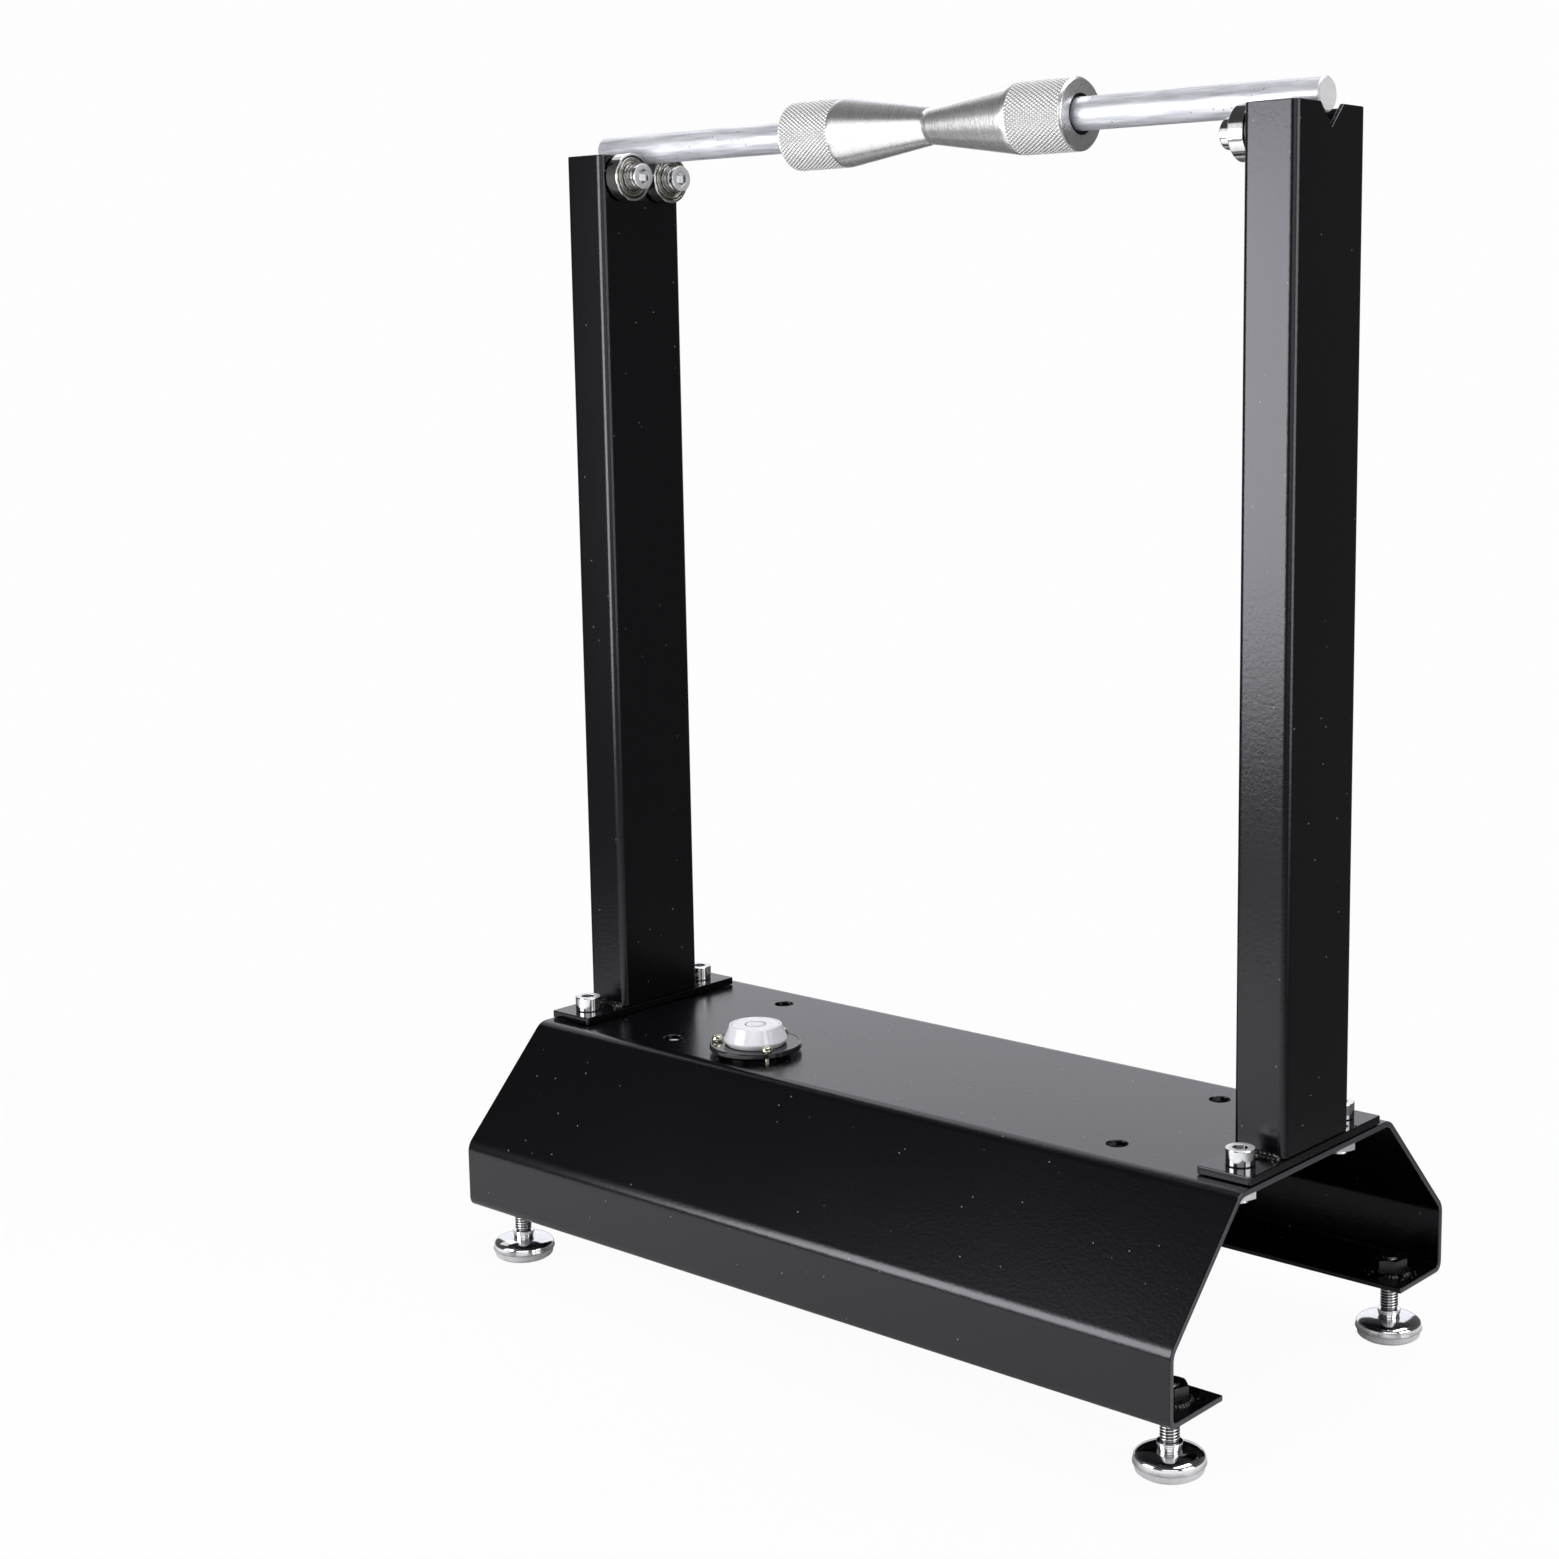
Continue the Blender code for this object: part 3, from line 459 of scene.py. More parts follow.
def finished(mesh, cuts=(), keeps=(), edge=0.0, edge_steps=3, flatness=100):
    """The mesh with its Boolean cuts, rounded edges and flat-face normals applied."""
    obj = new_object("work", mesh)
    tools = []
    for operation, meshes in (("INTERSECT", keeps), ("DIFFERENCE", cuts)):
        for tool in meshes:
            tools.append(new_object("tool", tool))
            modify(obj, "BOOLEAN", operation=operation, solver="EXACT", object=tools[-1])
    if edge:
        limit = {"limit_method": "ANGLE", "angle_limit": EDGE_ANGLE, "use_clamp_overlap": False}
        modify(obj, "BEVEL", width=edge, segments=edge_steps, **limit)
    for target in (obj, *tools):
        target.data.shade_smooth()
    mesh.set_sharp_from_angle(angle=SMOOTH_ANGLE)
    modify(obj, "WEIGHTED_NORMAL", weight=flatness, keep_sharp=True)
    bpy.context.view_layer.update()
    graph = bpy.context.evaluated_depsgraph_get()
    made = bpy.data.meshes.new_from_object(obj.evaluated_get(graph))
    made.name = mesh.name
    for target in (obj, *tools):
        bpy.data.objects.remove(target, do_unlink=True)
    return made


def turned(name, profile, steps=72):
    return finished(lathe_mesh(name, profile, steps), flatness=50)


def thread_mesh(name, low, high):
    """A closed threaded rod about Z, with its thread fading out at both ends."""
    steps = THREAD_STEPS
    count = int((high - low) / THREAD_PITCH * THREAD_ROWS)
    work = bmesh.new()
    rows = []
    for i in range(count + 1):
        z = low + (high - low) * i / count
        fade = min(1, (z - low) / THREAD_PITCH, (high - z) / THREAD_PITCH)
        row = []
        for k in range(steps):
            phase = (z / THREAD_PITCH - k / steps) % 1
            crest = min(1, THREAD_SLOPE * (1 - abs(2 * phase - 1))) * fade
            radius = THREAD_ROOT + (THREAD_RADIUS - THREAD_ROOT) * crest
            angle = FULL_TURN * k / steps
            row.append(work.verts.new((radius * math.cos(angle), radius * math.sin(angle), z)))
        rows.append(row)
    skin(work, rows)
    work.faces.new(rows[0])
    work.faces.new(rows[-1])
    mesh = smoothed(mesh_of(name, work), THREAD_SHARP)
    reach = np.hypot(*coordinates(mesh)[:, :2].T)
    # The depth into the thread is kept for painted shade in its roots.
    keep_value(mesh, "groove", np.clip((THREAD_RADIUS - reach) / (THREAD_RADIUS - THREAD_ROOT), 0, 1))
    return mesh


# Materials


def set_inputs(node, **inputs):
    """Sets or links a node's sockets, whose names have an underscore here for each space."""
    for name, value in inputs.items():
        socket = node.inputs[name.replace("_", " ")]
        if isinstance(value, bpy.types.NodeSocket):
            node.id_data.links.new(value, socket)
        else:
            socket.default_value = value
    return node


def new_node(tree, kind, **inputs):
    return set_inputs(tree.nodes.new("ShaderNode" + kind), **inputs)


def ramp(value, from_low, from_high, to_low, to_high):
    node = new_node(value.id_data, "MapRange", Value=value, From_Min=from_low, From_Max=from_high)
    return set_inputs(node, To_Min=to_low, To_Max=to_high).outputs["Result"]


def mixed(kind, share, low, high):
    node = new_node(share.id_data, "Mix")
    node.data_type = kind
    return set_inputs(node, Factor=share, A=low, B=high).outputs["Result"]


def three(scale):
    """A scale for each axis, from those or from one for all three."""
    return scale if isinstance(scale, tuple) else (scale,) * 3


class Finish:
    """A procedural material: two tones, a mottled roughness and a bump, all from object space."""

    def __init__(self, name, slot, colour, other, roughness, metallic, grain, **constants):
        self.slot = slot
        self.material = bpy.data.materials.new(name)
        self.material.use_nodes = True
        self.tree = self.material.node_tree
        self.shader = set_inputs(self.tree.nodes["Principled BSDF"], Metallic=metallic, **constants)
        self.place = new_node(self.tree, "TexCoord").outputs["Object"]
        self.normal = None
        tone = self.noise(three(grain), *TONE_NOISE)
        self.colour = mixed("RGBA", ramp(tone, *TONE_RANGE, 0, 1), (*colour, 1), (*other, 1))
        smear = self.noise(tuple(SMEAR_SCALE * share for share in three(grain)), *SMEAR_NOISE)
        self.rough = ramp(smear, *SMEAR_RANGE, *roughness)
        set_inputs(self.shader, Base_Color=self.colour, Roughness=self.rough)

    def noise(self, scale, detail, rough):
        place = new_node(self.tree, "Mapping", Vector=self.place, Scale=scale).outputs["Vector"]
        texture = new_node(self.tree, "TexNoise", Vector=place, Scale=1, Detail=detail, Roughness=rough)
        return texture.outputs["Fac"]

    def bump(self, scale, depth, detail=2):
        """Adds a bump of a noise, with its depth in metres."""
        height = self.noise(three(scale), detail, BUMP_ROUGHNESS)
        node = new_node(self.tree, "Bump", Strength=1, Distance=depth, Height=height)
        if self.normal is not None:
            set_inputs(node, Normal=self.normal)
        self.normal = node.outputs["Normal"]
        set_inputs(self.shader, Normal=self.normal)
        return self

    def specks(self, scale, size, colour):
        """Adds sparse round specks of another colour, with their size as a share of their spacing."""
        texture = new_node(self.tree, "TexVoronoi", Vector=self.place, Scale=scale)
        return self.blend(ramp(texture.outputs["Distance"], SPECK_CORE * size, size, 1, 0), colour)

    def held(self, value):
        """A value that the mesh holds for each point."""
        reader = new_node(self.tree, "Attribute")
        reader.attribute_name = value
        return reader.outputs["Fac"]

    def matte(self, value, metallic):
        """Lowers the metallic share to another by a held value."""
        whole = self.shader.inputs["Metallic"].default_value
        set_inputs(self.shader, Metallic=ramp(self.held(value), 0, 1, whole, metallic))
        return self

    def blend(self, share, colour):
        self.colour = mixed("RGBA", share, self.colour, (*colour, 1))
        set_inputs(self.shader, Base_Color=self.colour)
        return self

    def wear_and_painted_light(self, value, colour, roughness):
        """Blends in another colour and roughness by a held value; its uses paint real wear, and also painted
        shade and painted highlights.
        """
        share = self.held(value)
        self.rough = mixed("FLOAT", share, self.rough, roughness)
        set_inputs(self.shader, Roughness=self.rough)
        return self.blend(share, colour)


# Finishes: name, slot, two tones, lowest and highest roughness, metallic share and grain
COOL_GLOSS = (0.93, 0.91, 1.0, 1)
COAT = Finish(
    "black_powder_coat", "powder_coat",
    (0.0008, 0.0007, 0.0011), (0.0011, 0.0010, 0.0015), (0.22, 0.24), 0.0, 5, Specular_Tint=COOL_GLOSS,
)
COAT.bump(620, 0.00005).specks(130, 0.045, (0.28, 0.28, 0.29)).wear_and_painted_light("cut", (0.035, 0.035, 0.04), 0.4)
GLOSS_COAT = Finish(
    "black_plate_coat", "powder_coat",
    (0.0014, 0.0013, 0.0018), (0.0020, 0.0019, 0.0025), (0.10, 0.14), 0.0, 20, Specular_Tint=COOL_GLOSS,
)
GLOSS_COAT.bump(500, 0.00001)
WELD = Finish(
    "coated_weld", "powder_coat", (0.003, 0.003, 0.0036), (0.007, 0.007, 0.008), (0.12, 0.26), 0.0, 400
)
WELD.bump(1500, 0.00006, 3)
BLACK = Finish(
    "black_nut", "black_steel", (0.0012, 0.0012, 0.0014), (0.0025, 0.0022, 0.0022), (0.20, 0.30), 0.0, 500
)
BLACK.bump(1800, 0.00002)
GROUND = Finish(
    "ground_shaft", "ground_steel", (0.54, 0.55, 0.61), (0.91, 0.92, 0.97), (0.34, 0.48), 0.56, (45, 560, 560)
)
GROUND.bump((60, 2600, 2600), 0.00003, 3).bump((25, 600, 600), 0.00002)
GROUND.specks(260, 0.13, (0.38, 0.38, 0.41))
# The facing grooves and the centre mark of the shaft's ends get painted shade.
GROUND.wear_and_painted_light("faced", (0.96, 0.96, 0.97), 0.6).wear_and_painted_light("facing_groove_shade", (0.10, 0.10, 0.11), 0.4)
POLISHED = Finish(
    "polished_cone", "polished_steel",
    (0.80, 0.80, 0.81), (0.94, 0.94, 0.95), (0.24, 0.32), 0.92, (3500, 30, 30),
)
POLISHED.bump((5200, 20, 20), 0.00002).specks(300, 0.10, (0.40, 0.40, 0.41))
# On the cone, the knurl's crests are painted light and matte: a painted highlight.
POLISHED.wear_and_painted_light("crest", (0.98, 0.98, 0.98), 0.5).matte("crest", 0.0)
# The knurl's grooves and the mouth of the bore get painted shade.
POLISHED.wear_and_painted_light("groove", (0.08, 0.08, 0.085), 0.5).wear_and_painted_light("painted_shade", (0.02, 0.02, 0.02), 0.5)
RING = Finish(
    "ring_steel", "ring_steel", (0.66, 0.66, 0.67), (0.78, 0.78, 0.79), (0.10, 0.16), 1.0, (900, 300, 300)
)
# The deep grooves of the bearing's face get painted shade.
RING.bump((2500, 500, 500), 0.000002).wear_and_painted_light("painted_shade", (0.03, 0.03, 0.03), 0.4)
SHIELD = Finish(
    "shield_steel", "ring_steel", (0.42, 0.40, 0.35), (0.54, 0.52, 0.46), (0.24, 0.32), 1.0, 500
)
# The deep grooves between shield and ring get painted shade.
SHIELD.bump(900, 0.000004).wear_and_painted_light("painted_shade", (0.03, 0.03, 0.03), 0.4)
BALL = Finish("ball_steel", "ball_steel", (0.62, 0.62, 0.64), (0.72, 0.72, 0.74), (0.12, 0.18), 1.0, 900)
ZINC = Finish("zinc_plate", "zinc", (0.68, 0.69, 0.71), (0.82, 0.82, 0.84), (0.09, 0.15), 1.0, 600)
ZINC.bump(1400, 0.000004, 3).wear_and_painted_light("faced", (0.88, 0.88, 0.89), 0.5)
YELLOW_ZINC = Finish(
    "yellow_zinc_plate", "zinc", (0.66, 0.62, 0.46), (0.84, 0.81, 0.66), (0.10, 0.20), 1.0, 900
)
YELLOW_ZINC.bump(1800, 0.000008, 3)
CHROME = Finish("chrome", "chrome", (0.80, 0.80, 0.82), (0.88, 0.88, 0.89), (0.08, 0.13), 1.0, 300)
# On chrome, the thread roots get painted shade, and the side band of a foot's rim gets painted shade in place
# of a darker reflection.
CHROME.bump(500, 0.000003).wear_and_painted_light("groove", (0.05, 0.05, 0.06), 0.3).wear_and_painted_light("rim", (0.40, 0.38, 0.39), 0.3)
PAD = Finish("pad_plastic", "pad_plastic", (0.50, 0.49, 0.51), (0.58, 0.57, 0.59), (0.30, 0.42), 0.0, 260)
PAD.bump(700, 0.00002)
DARK_PLASTIC = Finish(
    "dark_level_plastic", "level_plastic",
    (0.012, 0.012, 0.014), (0.020, 0.020, 0.022), (0.10, 0.18), 0.0, 400,
)
DARK_PLASTIC.bump(900, 0.000006)
VIAL = Finish(
    "white_vial_plastic", "vial_plastic",
    (0.60, 0.59, 0.64), (0.69, 0.68, 0.72), (0.14, 0.24), 0.0, 180, Coat_Weight=0.5, Coat_Roughness=0.04,
)
VIAL.bump(260, 0.00001)
MARK = Finish("target_ring", "vial_plastic", (0.03, 0.03, 0.035), (0.05, 0.05, 0.06), (0.3, 0.4), 0.0, 900)
SHELL_LINE = Finish(
    "shell_line", "vial_plastic", (0.24, 0.24, 0.26), (0.32, 0.32, 0.34), (0.2, 0.3), 0.0, 900
)


def keep_value(mesh, name, values):
    """Holds a value for each point of a mesh, for Finish.worn and Finish.matte."""
    holder = mesh.attributes.new(name, "FLOAT", "POINT")
    holder.data.foreach_set("value", np.asarray(values, dtype=np.float32))


def coordinates(mesh):
    points = np.empty(3 * len(mesh.vertices), dtype=np.float32)
    mesh.vertices.foreach_get("co", points)
    return points.reshape(-1, 3)


def add(name, mesh, finish, *nodes, body="frame"):
    """A piece on a body, in place of the CAD nodes that it stands for."""
    obj = new_object(name, mesh)
    mesh.materials.clear()
    mesh.materials.append(finish.material)
    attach(obj, body)
    if nodes:
        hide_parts(*nodes)


# Base


def hole_cutters(low, high, places, steps):
    """Cutters along Z for bolt holes, in one mesh."""
    drill = prism_mesh("drill", ring_points(BOLT_HOLE, steps), low, high)
    return joined("drills", *[placed(drill, place) for place in places])


def make_base():
    low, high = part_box("base_channel")
    half = [
        (high.y - FLANGE_WIDTH, low.z),
        (high.y, low.z),
        (high.y, low.z + SIDE_HEIGHT, WIDE_BEND_RADIUS),
        (DECK_WIDTH / 2, high.z, WIDE_BEND_RADIUS),
    ]
    outer = rounded(half + [(-y, *rest) for y, *rest in reversed(half)], BEND_RADIUS, BEND_STEPS)
    sheet = wall_mesh("sheet", outer, inset(outer, SHEET), low.x, high.x)
    sheet.transform(ONTO_X)
    deck = high.z - SHEET / 2
    bolt = middle("plate_screw_back_right")
    places = []
    for x in (bolt.x, bolt.x - SPARE_HOLE_SHIFT):
        places += [(sx * x, sy * bolt.y, deck) for sx in (-1, 1) for sy in (-1, 1)]
    for label in LABELS:
        foot = middle("foot_stud" + label)
        places.append((foot.x, foot.y, low.z + SHEET / 2))
    mesh = finished(sheet, cuts=[hole_cutters(-SHEET, SHEET, places, 48)], edge=SHEET_EDGE)
    keep_value(mesh, "cut", np.abs(coordinates(mesh)[:, 0]) > high.x - SHEET_EDGE / 4)
    add("sheet_base", mesh, COAT, "base_channel")


# Posts, plates and welds


def bead_mesh(name, start, end, outward, size):
    """A rippled fillet weld from start to end, lying in the corner below its outward side."""
    start, end, outward = Vector(start), Vector(end), Vector(outward)
    work = bmesh.new()
    rows = []
    length = (end - start).length
    for i in range(BEAD_RINGS + 1):
        share = i / BEAD_RINGS
        spot = start.lerp(end, share)
        ripple = abs(math.sin(math.pi * length * share / BEAD_RIPPLE))
        wobble = noise.noise(spot * BEAD_WOBBLE_SCALE)
        radius = size * (BEAD_LOW + BEAD_CREST * ripple + BEAD_WOBBLE * wobble)
        radius *= math.sqrt(max(BEAD_END, 1 - (2 * share - 1) ** BEAD_END_POWER))
        base = spot - outward * BEAD_SINK - Vector((0, 0, BEAD_SINK))
        row = [work.verts.new(base)]
        for k in range(BEAD_STEPS + 1):
            angle = QUARTER * k / BEAD_STEPS
            across, up = math.cos(angle), math.sin(angle)
            reach = radius + BEAD_SINK * (abs(across) + abs(up))
            row.append(work.verts.new(base + outward * reach * across + Vector((0, 0, reach * up))))
        rows.append(row)
    skin(work, rows)
    work.faces.new(rows[0])
    work.faces.new(rows[-1])
    return smoothed(mesh_of(name, work), BEAD_SHARP)


def blob_mesh(name, places):
    """Small flattened drops of spatter at places of (x, y, z, radius)."""
    angles = [k * QUARTER / DROP_STEPS for k in range(DROP_STEPS + 1)]
    drops = []
    for x, y, z, radius in places:
        profile = [(radius * math.sin(a), DROP_HEIGHT * radius * math.cos(a)) for a in angles]
        profile += [(radius * DROP_FOOT, -DROP_SINK * radius), (0, -DROP_SINK * radius)]
        drops.append(placed(lathe_mesh("drop", profile, 12), (x, y, z)))
    mesh = joined(name, *drops)
    mesh.shade_smooth()
    return mesh


def make_post(side, sign):
    low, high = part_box("post_tube_" + side)
    centre = (low + high) / 2
    width, depth = high.x - low.x, high.y - low.y
    outer = rectangle(-width / 2, -depth / 2, width / 2, depth / 2)
    outer = rounded(outer, POST_CORNER, 10, closed=True)
    tube = wall_mesh("tube", outer, inset(outer, POST_WALL, closed=True), low.z, high.z, closed=True)
    reach = NOTCH_WIDTH / 2 / NOTCH_DEPTH * (NOTCH_DEPTH + OVERRUN)
    wedge = prism_mesh("wedge", [(0, -NOTCH_DEPTH), (reach, OVERRUN), (-reach, OVERRUN)], -width, width)
    wedge.transform(Matrix.Translation((0, 0, high.z)) @ ONTO_X)
    drill = prism_mesh("drill", ring_points(BOLT_HOLE, 40), -2 * POST_WALL, 2 * POST_WALL)
    drills = []
    for end, _ in ENDS:
        hole = middle(f"bearing_outer_{end}_{side}")
        drills.append(moved(drill, along_x((-sign * width / 2, hole.y, hole.z))))
    mesh = finished(tube, cuts=[wedge, joined("drills", *drills)], edge=POST_EDGE)
    mesh.transform(Matrix.Translation((centre.x, centre.y, 0)))
    add("tube_post_" + side, mesh, COAT, "post_tube_" + side)


def make_plate(side):
    low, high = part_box("foot_plate_" + side)
    outline = rounded(rectangle(low.x, low.y, high.x, high.y), PLATE_CORNER, 5, closed=True)
    plate = prism_mesh("plate", outline, low.z, high.z)
    places = [(*middle(f"plate_screw_{end}_{side}").xy, 0) for end, _ in ENDS]
    cutters = hole_cutters(low.z - OVERRUN, high.z + OVERRUN, places, 40)
    mesh = finished(plate, cuts=[cutters], edge=PLATE_EDGE)
    add("plate_" + side, mesh, GLOSS_COAT, "foot_plate_" + side)


def make_welds(side):
    low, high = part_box("post_tube_" + side)
    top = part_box("foot_plate_" + side)[1].z
    inner = POST_CORNER / 2
    for end, sign in ENDS:
        y = high.y if sign > 0 else low.y
        start, finish = (low.x + inner, y, top), (high.x - inner, y, top)
        bead = bead_mesh("bead", start, finish, (0, sign, 0), BEAD_RADIUS)
        add(f"weld_{end}_{side}", bead, WELD)
        half = (high.x - low.x) / 2
        spots = [
            ((low.x + high.x) / 2 + half * x, y + sign * out * BEAD_RADIUS, top, size)
            for x, out, size in POST_SPATTER
        ]
        add(f"spatter_{end}_{side}", blob_mesh("spatter", spots), WELD)


# Screws and nuts


def socket_head(radius, height, length, shank=None):
    """A socket screw: head above z = 0 and thread below, or flutes and a plain shank of a radius."""
    corners = [(0, height), (radius, height, HEAD_EDGE), (radius, 0, HEAD_EDGE / 3), (0, 0)]
    head = lathe_mesh("screw", rounded(corners, HEAD_EDGE, 5), 2 * FLUTES if shank else 64)
    if shank:
        for point in head.vertices:
            turn = math.atan2(point.co.y, point.co.x) / FULL_TURN * 2 * FLUTES
            if math.hypot(point.co.x, point.co.y) > radius - GAP / 3 and round(turn) % 2:
                point.co.x *= 1 - FLUTE_DEPTH / radius
                point.co.y *= 1 - FLUTE_DEPTH / radius
    socket = prism_mesh("socket", hexagon(SOCKET_FLATS), height - SOCKET_DEPTH, height + OVERRUN)
    body = finished(head, cuts=[socket], edge=SOCKET_EDGE, edge_steps=2)
    keep_value(body, "faced", coordinates(body)[:, 2] > height - GAP / 3)
    if shank:
        rod = turned("shank", rounded(rectangle(0, -GAP / 3, shank, -length), SHANK_EDGE), 40)
    else:
        rod = thread_mesh("thread", -length, -GAP / 3)
    return joined("screw", body, rod)


def nut_mesh(height):
    """A hexagon nut about the origin with chamfered corners and a bore."""
    half = height / 2
    body = prism_mesh("nut", hexagon(NUT_FLATS), -half, half)
    flat, corner = NUT_FLATS / 2, NUT_FLATS / 2 / math.cos(FULL_TURN / 12)
    drop = (corner - flat) * NUT_CORNER_DROP
    outside = [(0, half), (flat - NUT_FACE_INSET, half), (corner + NUT_FACE_INSET, half - drop)]
    mouth = NUT_BORE + NUT_BORE_CHAMFER
    inside = [(0, height), (mouth + half, height), (mouth, half), (NUT_BORE, half - NUT_BORE_CHAMFER)]
    barrel = lathe_mesh("barrel", mirrored(outside), 96)
    bore = lathe_mesh("bore", mirrored(inside), 48)
    return finished(body, keeps=[barrel], cuts=[bore], edge=NUT_EDGE, edge_steps=2)


def make_plate_fasteners():
    for label in LABELS:
        screw, nut = "plate_screw" + label, "plate_nut" + label
        low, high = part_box(screw)
        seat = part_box("foot_plate_" + label.split("_")[2])[1].z + GAP
        head = socket_head(extent(screw).x / 2, high.z - seat, seat - low.z)
        centre = middle(screw)
        place = Matrix.Translation((centre.x, centre.y, seat)) @ askew(centre, *PLATE_SCREW_RATES)
        add("socket_screw" + label, moved(head, place), ZINC, screw)
        add("hex_nut" + label, placed(nut_mesh(extent(nut).z), middle(nut)), ZINC, nut)


# Bearings


def ring_profile(radius, half):
    """Section of an outer ring: bright rim, flat face and the groove that holds the shield."""
    face = [
        (SHIELD_OUTSIDE - 0.0001, half - 0.0009),
        (SHIELD_OUTSIDE, half - 0.0001, 0.0001),
        (SHIELD_OUTSIDE + 0.00025, half, 0.0001),
        (radius, half),
    ]
    return rounded(mirrored(face), RING_EDGE, 4, closed=True)


def shield_profile(half):
    """Section of a shield with its raised bead, a pressed groove and its rolled inner edge."""
    top = half - SHIELD_STEP
    pressed, crest = top - SHIELD_GROOVE_DEPTH, top + 0.00028
    section = [
        (SHIELD_INSIDE, top - SHIELD_DEPTH),
        (SHIELD_INSIDE, top - 0.00025, 0.0001),
        (SHIELD_INSIDE + 0.0004, top, 0.0002),
        (SHIELD_GROOVE - 0.0003, top, 0.0001),
        (SHIELD_GROOVE, pressed, 0.0001),
        (SHIELD_GROOVE + 0.0003, top, 0.0001),
        (SHIELD_BEAD - 0.0004, top, 0.0001),
        (SHIELD_BEAD - 0.0002, crest, 0.0003),
        (SHIELD_BEAD + 0.0002, crest, 0.0003),
        (SHIELD_BEAD + 0.0004, pressed, 0.0001),
        (SHIELD_RIM, pressed, 0.0001),
        (SHIELD_RIM, top - SHIELD_DEPTH),
    ]
    return rounded(section, 0.00012, 3, closed=True)


def paint_groove_shade(mesh, half):
    """Marks the deep grooves of a bearing's face for painted shade, by their radius and depth."""
    points = coordinates(mesh)
    reach = np.hypot(points[:, 0], points[:, 1])
    deep = half - np.abs(points[:, 2]) > SHIELD_STEP + 0.0001
    slot = (reach > SHIELD_BEAD + 0.0003) & (reach < SHIELD_OUTSIDE + 0.0001)
    keep_value(mesh, "painted_shade", deep & (slot | (reach < SHIELD_GROOVE + 0.0001)))


def make_bearings():
    for label in LABELS:
        inward = -1 if "right" in label else 1
        body, shim, screw = (node + label for node in ("bearing_outer", "bearing_shim", "bearing_screw"))
        centre, size = middle(body), extent(body)
        half, place = size.x / 2, along_x(centre, inward)
        ring = turned("ring", ring_profile(size.z / 2, half), 96)
        paint_groove_shade(ring, half)
        add("outer_ring" + label, moved(ring, place), RING, body, body=body)
        shield = turned("shield", shield_profile(half), 96)
        shields = joined("shields", shield, moved(shield, Matrix.Rotation(2 * QUARTER, 4, "X")))
        paint_groove_shade(shields, half)
        add("shields" + label, moved(shields, place), SHIELD, body=body)
        section = rectangle(BEARING_BORE, half, BEARING_BORE + INNER_RING_WALL, -half)
        inner = turned("inner", rounded(section, INNER_RING_EDGE, 3, closed=True))
        add("inner_ring" + label, moved(inner, place), RING, "bearing_inner" + label)
        wide = extent(shim)
        section = rectangle(NUT_BORE, wide.x / 2, wide.z / 2, -wide.x / 2)
        washer = turned("washer", rounded(section, SHIM_EDGE, 2, closed=True), 48)
        add("washer" + label, moved(washer, along_x(middle(shim))), BLACK, shim)
        low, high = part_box(screw)
        seat = centre.x + inward * (half + GAP)
        tip, back = (high.x, low.x) if inward > 0 else (low.x, high.x)
        head = socket_head((high.z - low.z) / 2, abs(tip - seat), abs(seat - back), BEARING_BORE - GAP)
        place = along_x((seat, centre.y, centre.z), inward) @ askew(centre, *CLAMP_SCREW_RATES, inward)
        add("clamp_screw" + label, moved(head, place), ZINC, screw)


# Shaft and cones


def make_shaft():
    size, centre = extent("shaft"), middle("shaft")
    half, radius = size.x / 2, size.z / 2
    rings = []
    for k in range(FACING_RINGS):
        ring = CENTRE_RADIUS + (radius - SHAFT_EDGE - CENTRE_RADIUS) * (k + 0.5) / FACING_RINGS
        rings.append((ring - FACING_WIDTH, half, 0))
        rings.append((ring, half - FACING_DEPTH, 0))
        rings.append((ring + FACING_WIDTH, half, 0))
    end = [(0, half - CENTRE_DEPTH), (CENTRE_RADIUS, half, 0.0001), *rings]
    end += [(radius - SHAFT_EDGE, half, 0.0001), (radius, half - SHAFT_EDGE, 0.0002)]
    mesh = turned("shaft", rounded(mirrored(end), 0.0002, 3), 96)
    depth = half - np.abs(coordinates(mesh)[:, 2])
    keep_value(mesh, "faced", depth < SHAFT_EDGE / 2)
    # Painted shade in the facing grooves and the centre mark.
    keep_value(mesh, "facing_groove_shade", FACING_GROOVE_SHADE * ((depth > FACING_DEPTH / 2) & (depth < SHAFT_EDGE / 2)))
    add("round_shaft", moved(mesh, along_x(centre)), GROUND, "shaft", body="shaft")


def knurl_height(around, along):
    """The depth of a diamond knurl at shares of a pitch around and along."""
    one, other = (np.abs(2 * (place % 1) - 1) for place in (around + along, around - along))
    groove = np.maximum(one, other)
    return KNURL_DEPTH * np.clip((groove - KNURL_FLAT_SHARE) / (1 - KNURL_FLAT_SHARE), 0, 1)


